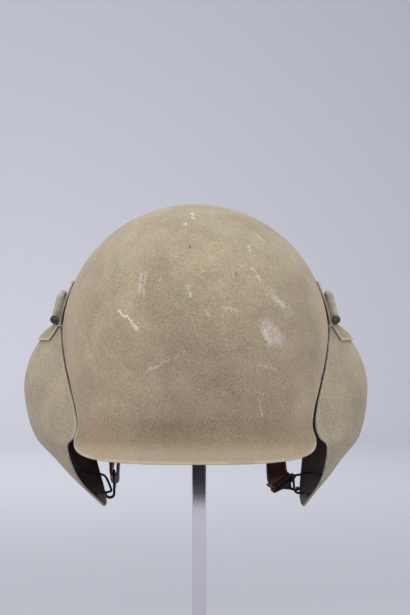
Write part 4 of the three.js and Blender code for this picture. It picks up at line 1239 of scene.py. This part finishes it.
def knuckle(sign, start, end, radius):
    """A tube round the pin with softened ends."""
    soft, softer = KNUCKLE_SOFT, KNUCKLE_SOFT * 0.3
    profile = [(BORE_RADIUS, start), (radius - soft, start), (radius - softer, start + softer),
               (radius, start + soft), (radius, end - soft), (radius - softer, end - softer),
               (radius - soft, end), (BORE_RADIUS, end)]
    return turned(profile, on_pin(sign), "Y")


def leaf_piece(name, sheet, knuckles, stands_for):
    """A leaf and its knuckles in one piece, with the distance to its edges for the paint's wear."""
    points, faces, _, distance = sheet
    points, faces = fused((points, faces), *knuckles)
    distance = distance + [KNUCKLE_RADIUS] * (len(points) - len(distance))
    return make_piece(name, points, faces, [HINGE_LACQUER], [stands_for],
                      values={"edge": distance})


# %% Upper leaves, on the dome
LEAF_COLUMNS, LEAF_LEVELS = 20, 28
UPPER_FOOT_Z = PLATE_TOP_Z + 0.15
UPPER_SPREAD = 1.3          # the leaf's foot stands this much farther off the dome than its top

for side in SIDES:
    sign = side["sign"]
    grid = []
    for r in range(LEAF_LEVELS + 1):
        share = r / LEAF_LEVELS
        z = mix(LEAF_TOP_Z, UPPER_FOOT_Z, share)
        lift = GAP + UPPER_SPREAD * share**2 + LEAF_THICK
        row = []
        for c in range(LEAF_COLUMNS + 1):
            y = mix(HINGE_REAR, HINGE_FRONT, c / LEAF_COLUMNS)
            row.append(Vector((HELMET_X + sign * dome_side(y, z, -lift), y, z)))
        grid.append(row)
    sheet = walled(*grid_sheet(grid, sign), LEAF_THICK)
    knuckles = [knuckle(sign, HINGE_REAR, HINGE_REAR + OUTER_KNUCKLE, KNUCKLE_RADIUS),
                knuckle(sign, HINGE_FRONT - OUTER_KNUCKLE, HINGE_FRONT, KNUCKLE_RADIUS)]
    leaf_piece("hinge_upper_leaf_" + side["name"], sheet, knuckles, "hinge_shell_leaf_" + side["name"])

# %% Lower leaves, on the cheek plates
LOWER_CLEAR = 0.65
LOWER_INSET = 6.5           # it is narrower than the upper leaf by this much on each side
LOWER_TOP_Z = PLATE_TOP_Z - 0.2
LOWER_LEVELS = LEAF_LEVELS // 2
WEB_OUT, WEB_DOWN = 0.7, 0.1
WEB_HALF_DEEP, WEB_HALF_HIGH = 1.7, 1.2


def plate_share(y, z):
    """How far along a plate's level, from its rear edge to its front edge, depth y lies."""
    rear = column_at(PLATE_ROWS, "rear_y", z)
    return clamp01((y - rear) / (column_at(PLATE_ROWS, "front_y", z) - rear))


for side in SIDES:
    sign = side["sign"]
    grid = []
    for r in range(LOWER_LEVELS + 1):
        z = mix(LOWER_TOP_Z, LEAF_FOOT_Z, r / LOWER_LEVELS)
        row = []
        for c in range(LEAF_COLUMNS + 1):
            y = mix(HINGE_REAR + LOWER_INSET, HINGE_FRONT - LOWER_INSET, c / LEAF_COLUMNS)
            row.append(plate_offset(sign, plate_share(y, z), z, LOWER_CLEAR + LEAF_THICK))
        grid.append(row)
    sheet = walled(*grid_sheet(grid, sign), LEAF_THICK)
    reach = OUTER_KNUCKLE + GAP
    roll = knuckle(sign, HINGE_REAR + reach, HINGE_FRONT - reach, KNUCKLE_RADIUS)
    # The web between the leaf and its knuckle
    web_x, web_z = on_pin(sign).x + sign * WEB_OUT, PIN_Z - KNUCKLE_RADIUS - WEB_DOWN
    web = [Vector((web_x + i, j, web_z + k)) for i in (-WEB_HALF_DEEP, WEB_HALF_DEEP)
           for j in (HINGE_REAR + reach, HINGE_FRONT - reach) for k in (-WEB_HALF_HIGH, WEB_HALF_HIGH)]
    box = [(0, 1, 3, 2), (4, 6, 7, 5), (0, 4, 5, 1), (2, 3, 7, 6), (0, 2, 6, 4), (1, 5, 7, 3)]
    leaf_piece("hinge_lower_leaf_" + side["name"], sheet, [roll, (web, facing_out(web, box))],
               "hinge_plate_leaf_" + side["name"])

# %% Pins with domed heads
HEAD_Y = LEAF_WIDTH / 2 + GAP + EYE_LENGTH + GAP
HEAD_STEPS = 6
HEAD_SIDE = 0.35            # the share of a head's thickness that is straight, below the dome
HEAD_SOFT = 0.15

for side in SIDES:
    head = []
    for step in range(HEAD_STEPS + 1):
        turn = math.pi / 2 * step / HEAD_STEPS
        rise = HEAD_SIDE + (1 - HEAD_SIDE) * math.cos(turn)
        head.append((PIN_HEAD_RADIUS * math.sin(turn), PIN_HEAD_THICK * rise))
    head += [(PIN_HEAD_RADIUS, HEAD_SOFT), (PIN_HEAD_RADIUS - HEAD_SOFT, 0.0), (PIN_RADIUS, 0.0)]
    profile = [(radius, HINGE_Y - HEAD_Y - place) for radius, place in head]
    profile += [(radius, HINGE_Y + HEAD_Y + place) for radius, place in reversed(head)]
    pin = mesh_from(*turned(profile, on_pin(side["sign"]), "Y"))
    piece_from("hinge_pin_" + side["name"] + "_headed", [pin], PIN_STEEL,
               ["hinge_pin_" + side["name"]])

# %% Bails of bent rod
BAIL_LEG_Y = LEAF_WIDTH / 2 + GAP + EYE_LENGTH / 2
BAIL_SHAPE = table("share y", [(0.1, 0), (0.7073, 0), (0.93, 1.5), (1, 6)])
BAIL_EYE_RADIUS = KNUCKLE_RADIUS - 0.2


def bail_point(sign, share, y):
    """A place on a bail: share runs from the pin up to the top bar."""
    lean = mix(PIN_X, PIN_X - BAIL_LEAN, share)
    return Vector((HELMET_X + sign * lean, HINGE_Y + y, mix(PIN_Z, PIN_Z + BAIL_HEIGHT, share)))


for side in SIDES:
    sign = side["sign"]
    route = [bail_point(sign, row["share"], row["y"] - BAIL_LEG_Y) for row in BAIL_SHAPE]
    route += [bail_point(sign, row["share"], BAIL_LEG_Y - row["y"]) for row in reversed(BAIL_SHAPE)]
    rod = bent_rod(smooth_route(route, ROUTE_STEPS), BAIL_RADIUS, BAIL_LACQUER)
    eyes = []
    for y in (HINGE_Y - BAIL_LEG_Y, HINGE_Y + BAIL_LEG_Y):
        eyes.append(knuckle(sign, y - EYE_LENGTH / 2, y + EYE_LENGTH / 2, BAIL_EYE_RADIUS))
    piece_from("bail_" + side["name"], [rod, mesh_from(*fused(*eyes))], BAIL_LACQUER,
               ["hinge_bail_" + side["name"]])

# %% [markdown]
# ## Wire loops and hooks
#
# Low inside each plate a bent wire loop stands out towards the front. The strap ends in a hook of
# blackened steel, stamped flat with a window for the strap, whose tongue curls round the wire.

# %% Wire loops
LOOP_RADIUS = 1.0
LOOP_TOP_Z, LOOP_FOOT_Z, LOOP_ROOT_Y = 177.0, 160.5, 45.5
LOOP_CLEAR = LOOP_RADIUS + GAP + 0.4
UP = Vector((0, 0, 1))


def inside_plate(sign, y, z, away=LOOP_CLEAR):
    """A place just inside a cheek plate."""
    return plate_offset(sign, plate_share(y, z), z, -WALL - away)


def inward(sign, degrees):
    """A direction in plan, turned in from straight ahead."""
    turn = math.radians(degrees)
    return Vector((-sign * math.sin(turn), math.cos(turn), 0))


LOOPS = table("name sign turn bow_top bow_foot", [
    # turn: degrees from straight ahead; bow_top and bow_foot: how far it stands out at top and foot
    ("left", -1, 34, 5.0, 13.5),
    ("right", 1, 53, 10.0, 8.0),
])
LOOP_HEIGHT = LOOP_TOP_Z - LOOP_FOOT_Z

for loop in LOOPS:
    sign, reach = loop["sign"], inward(loop["sign"], loop["turn"])
    top, low = loop["bow_top"], loop["bow_foot"]
    foot = inside_plate(sign, LOOP_ROOT_Y, LOOP_FOOT_Z)
    head = Vector((foot.x, foot.y, LOOP_TOP_Z))
    # Forwards along the plate, out round the foot, up, back in round the top and along the plate
    route = [inside_plate(sign, y, LOOP_FOOT_Z) for y in (26, 38)] + [foot]
    route += [foot + reach * out + UP * up for out, up in (
        (low - 3, 0), (low - 0.8, 0.8), (mix(low, top, 3.5 / LOOP_HEIGHT), 3.5))]
    route += [head + reach * out - UP * down for out, down in (
        (mix(top, low, 4.5 / LOOP_HEIGHT), 4.5), (top - 1, 1.2), (top / 2 - 1, 0))]
    route.append(inside_plate(sign, LOOP_ROOT_Y + 3, LOOP_TOP_Z, LOOP_CLEAR + 1))
    route += [inside_plate(sign, y, LOOP_TOP_Z) for y in (41, 30)]
    wire = bent_rod(smooth_route(route, ROUTE_STEPS), LOOP_RADIUS, BLACKENED_STEEL, sides=16)
    piece_from("wire_loop_" + loop["name"], [wire], BLACKENED_STEEL,
               ["strap_loop_" + loop["name"]])

# %% Hooks
STRAP_WIDTH, STRAP_THICK = 19.0, 2.0
HOOK_THICK, HOOK_LENGTH, HOOK_BEND, HOOK_TONGUE = 2.0, 15.5, 2.5, 2.0
WINDOW_WIDTH, WINDOW_HEIGHT, FRAME_BAR = STRAP_WIDTH + 1, 3.4, 2.0
CURL_TURN = math.pi * 1.15
CURL_STEPS = 28
SHOULDER = 4.5              # half the plate's width where it starts to widen
PLATE_ROUND, WINDOW_ROUND, SHANK_ROUND = 1.3, 0.7, 0.2
PLATE_SOFT, WIRE_SOFT = 0.35, 0.3

# Where each hook holds its loop (mm along the loop's reach, and height), how far it turns in, rises
# and is rolled over about its own length (degrees), and the side of it on which the strap ends
HOOKS = table("name sign loop_turn along z turn rise roll tail_side", [
    ("left", -1, 34, 11.0, 160.5, 0, 62, 0, 1),
    ("right", 1, 53, 8.6, 165.5, 25, 14, 54, -1),
])


def hook_axes(hook):
    """Where a hook meets its wire, and its own directions: across, from the wire to the bar, out."""
    sign, reach = hook["sign"], inward(hook["sign"], hook["turn"])
    end = inside_plate(sign, LOOP_ROOT_Y, LOOP_FOOT_Z) + inward(sign, hook["loop_turn"]) * hook["along"]
    end.z = hook["z"]
    rise = math.radians(hook["rise"])
    d = reach * math.cos(rise) + UP * math.sin(rise)
    w = (UP * math.cos(rise) - reach * math.sin(rise)) * sign
    return end, w, d, w.cross(d)


def rolled(hook, vector, d):
    """A direction after the hook's plate is rolled over about its own length."""
    return Quaternion(d, hook["sign"] * math.radians(hook["roll"])) @ vector


def placed(mesh, x, y, z, origin):
    """A mesh in millimetres moved so that its own axes lie along x, y and z, and made metres."""
    turn = Matrix((x, y, z)).transposed().to_4x4()
    mesh.transform(Matrix.Scale(MM, 4) @ Matrix.Translation(origin) @ turn)
    return mesh


def mirrored(half):
    """A closed outline from its right half, listed from the foot up."""
    return [(-x, y) for x, y in half] + half[::-1]


wide, top = WINDOW_WIDTH / 2 + FRAME_BAR, HOOK_LENGTH + FRAME_BAR
neck = HOOK_LENGTH - WINDOW_HEIGHT - FRAME_BAR * 1.6
plate_outline = rounded(mirrored([
    (HOOK_TONGUE / 2, 0), (SHOULDER, neck - 1), (wide, neck + 1.6), (wide, top)]), PLATE_ROUND)
window = rounded(mirrored([
    (WINDOW_WIDTH / 2, HOOK_LENGTH - WINDOW_HEIGHT), (WINDOW_WIDTH / 2, HOOK_LENGTH)]), WINDOW_ROUND)
# The tongue's curl round the wire, out along its back and home along its front
curl_outline = []
for radius, steps in ((HOOK_BEND + HOOK_THICK, range(CURL_STEPS + 1)),
                      (HOOK_BEND, range(CURL_STEPS, -1, -1))):
    for step in steps:
        turn = -CURL_TURN * step / CURL_STEPS
        curl_outline.append((radius * math.cos(turn), radius * math.sin(turn)))
# The shank bridges the curl and the plate
shank_outline = rounded([(-HOOK_TONGUE / 2, -1), (HOOK_TONGUE / 2, -1),
                         (HOOK_TONGUE / 2, 2), (-HOOK_TONGUE / 2, 2)], SHANK_ROUND)

for hook in HOOKS:
    end, w, d, n = hook_axes(hook)
    origin = end + n * (HOOK_BEND + HOOK_THICK / 2)
    parts = [
        placed(stamped([plate_outline, window], HOOK_THICK, PLATE_SOFT),
               rolled(hook, w, d), d, rolled(hook, n, d), origin),
        placed(stamped([curl_outline], HOOK_TONGUE, WIRE_SOFT), n, d, -w, end),
        placed(stamped([shank_outline], HOOK_THICK, WIRE_SOFT), w, d, n, origin),
    ]
    piece_from("hook_" + hook["name"], parts, BLACKENED_STEEL, ["strap_hook_" + hook["name"]])

# %% [markdown]
# ## The chin strap
#
# The strap is one leather band of its real length, stowed up over the brow of the helmet. Each end
# passes round the bar of its hook and comes back beside itself. Flat leather bends only one way, so
# a list of places and of the directions that its face looks in there settles the whole band.

# %% Where the strap runs
STRAP_REST = table("angle z", [(35.5, 244), (32.5, 253), (24, 264), (12, 271.5), (0, 274)])
STRAP_CLEAR = 2.2
STRAP_ROUND = 2.8           # from the middle of the hook's bar to the middle of the leather
STRAP_LEAVE = STRAP_ROUND + 0.4
STRAP_TAIL = 16.0           # how far an end comes back beside the strap
STRAP_FLAT_FROM = 5.0       # the leather is flat again this far from the bar
STRAP_STEPS = 16


def strap_climb(hook):
    """Places and facings where one end of the strap goes round its hook's bar."""
    end, _, d, n = hook_axes(hook)
    middle = end + d * (HOOK_LENGTH + FRAME_BAR / 2) + n * (HOOK_BEND + HOOK_THICK / 2)
    n = rolled(hook, n, d) * hook["tail_side"]
    out = [(middle + n * STRAP_LEAVE + d * STRAP_TAIL, n),
           (middle + n * STRAP_ROUND + d * STRAP_FLAT_FROM, n)]
    for angle in (0, 45, 90, 135, 180):
        turn = math.radians(-angle)
        facing = n * math.cos(turn) + d * math.sin(turn)
        out.append((middle + facing * STRAP_ROUND, facing))
    out.append((middle - n * STRAP_LEAVE + d * STRAP_FLAT_FROM, -n))
    # The same face of the leather lies outside on both sides, whichever way an end goes round its bar
    return [(place, facing * hook["tail_side"]) for place, facing in out]


def strap_rest(row, sign):
    """A place where the strap lies on the brow, and the direction straight out of the dome there."""
    turn = math.pi / 2 - math.radians(row["angle"] * sign)
    place = dome_point(turn, row["z"], -STRAP_CLEAR)
    return place, (dome_point(turn, row["z"], -STRAP_CLEAR - 1) - place).normalized()


stations = strap_climb(HOOKS[0]) + [strap_rest(row, -1) for row in STRAP_REST]
stations += [strap_rest(row, 1) for row in reversed(STRAP_REST[:-1])] + strap_climb(HOOKS[1])[::-1]
places = smooth_route([place for place, _ in stations], STRAP_STEPS)
facings = [stations[0][1]]
for (_, here), (_, there) in zip(stations, stations[1:]):
    facings += [here.lerp(there, k / STRAP_STEPS).normalized() for k in range(1, STRAP_STEPS + 1)]
strap_length = sum((b - a).length for a, b in zip(places, places[1:]))
print("strap", round(strap_length), "mm long over its folds")

# %% Carry the strap's section along it
CORNER_STEPS = 5
STRAP_CORNER = 0.75
FLAT_STEPS = 8


def strap_section():
    """The band's section as (across, up): flat faces and rounded edges, drawn anticlockwise."""
    half, up = STRAP_WIDTH / 2 - STRAP_CORNER, STRAP_THICK / 2 - STRAP_CORNER
    section = []
    for k, (x, y) in enumerate(((half, up), (-half, up), (-half, -up), (half, -up))):
        for step in range(CORNER_STEPS + 1):
            turn = math.pi / 2 * (k + step / CORNER_STEPS)
            section.append((x + STRAP_CORNER * math.cos(turn), y + STRAP_CORNER * math.sin(turn)))
        if k % 2 == 0:
            flat = STRAP_CORNER if k == 0 else -STRAP_CORNER
            for step in range(1, FLAT_STEPS):
                section.append((mix(x, -x, step / FLAT_STEPS), y + flat))
    return section


section = strap_section()
points, faces, across_values, along_values = [], [], [], []
travelled = 0.0
for k, (place, facing) in enumerate(zip(places, facings)):
    ahead, behind = places[min(len(places) - 1, k + 1)], places[max(0, k - 1)]
    along = (ahead - behind).normalized()
    across = along.cross(facing).normalized()
    facing = across.cross(along).normalized()
    travelled += (place - behind).length
    for x, y in section:
        points.append(place + across * x + facing * y)
        across_values.append(x / (STRAP_WIDTH / 2))
        along_values.append(travelled)
count = len(section)
for k in range(len(places) - 1):
    for j in range(count):
        here, there = k * count, (k + 1) * count
        faces.append((here + j, here + (j + 1) % count, there + (j + 1) % count, there + j))
faces.append(tuple(reversed(range(count))))
faces.append(tuple(range(len(points) - count, len(points))))
strap = make_piece("leather_chin_strap", points, facing_out(points, faces), [LEATHER], ["chin_strap"],
                   values={"across": across_values, "along": along_values})
strap.data.set_sharp_from_angle(angle=SHARP_TURN)

# %% [markdown]
# ## The stand
#
# A square post of polished steel rises from a square base, and a rubber pad on top keeps the crown
# from being scratched. Only the post shows in the photograph. Sheet and bar never have perfectly
# sharp edges, so each block gets its corners and edges rounded, and those catch the light.

# %% Base and post
POST_SIDE, BASE_SIDE, BASE_THICK = 11.5, 170.0, 8.0
PAD_RADIUS, PAD_THICK, PAD_GAP = 32.0, 12.0, 0.7
PAD_TOP_Z = CROWN_Z - WALL - PAD_GAP
CUT_IN = 0.5


def block(half, low, high, corner, edge):
    """A square block with rounded corners and softened edges."""
    outline = rounded([(-half, -half), (half, -half), (half, half), (-half, half)], corner, steps=8)
    mesh = stamped([outline], high - low, edge)
    # Two cuts close to the ends keep the bevels from bending the light on the long faces
    build = bmesh.new()
    build.from_mesh(mesh)
    for z in (high - low) / 2 - edge - CUT_IN, edge + CUT_IN - (high - low) / 2:
        everything = build.verts[:] + build.edges[:] + build.faces[:]
        bmesh.ops.bisect_plane(build, geom=everything, plane_co=(0, 0, z), plane_no=(0, 0, 1))
    build.to_mesh(mesh)
    build.free()
    return placed(mesh, Vector((1, 0, 0)), Vector((0, 1, 0)), UP, Vector((0, 0, (low + high) / 2)))


base = block(BASE_SIDE / 2, 0, BASE_THICK, corner=4.0, edge=0.8)
piece_from("base_plate", [base], POLISHED_STEEL, ["stand_base"])
post = block(POST_SIDE / 2, BASE_THICK + GAP, PAD_TOP_Z - PAD_THICK - GAP, corner=0.9, edge=0.3)
piece_from("square_post", [post], POLISHED_STEEL, ["stand_post"])

# %% Rubber pad
PAD_SOFT = 1.2
PAD_SWEEP = 1.06            # the pad's top falls away a little faster than the crown above it
PAD_RINGS = 12

hollow = DOME_RADIUS - WALL - PAD_GAP
profile = [(0, PAD_TOP_Z - PAD_THICK), (PAD_RADIUS - PAD_SOFT, PAD_TOP_Z - PAD_THICK),
           (PAD_RADIUS, PAD_TOP_Z - PAD_THICK + PAD_SOFT)]
for ring in range(PAD_RINGS, -1, -1):
    radius = PAD_RADIUS * ring / PAD_RINGS
    drop = hollow - math.sqrt(hollow**2 - (radius + abs(HELMET_X) * ring / PAD_RINGS) ** 2)
    soft = PAD_SOFT * 0.5 if ring == PAD_RINGS else 0.0
    profile.append((radius, PAD_TOP_Z - drop * PAD_SWEEP - soft))
pad = mesh_from(*turned(profile, Vector(), "Z", sides=64))
piece_from("rubber_pad", [pad], RUBBER, ["stand_pad"])

# %% The bounds of everything shown, the backdrop left out
low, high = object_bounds()
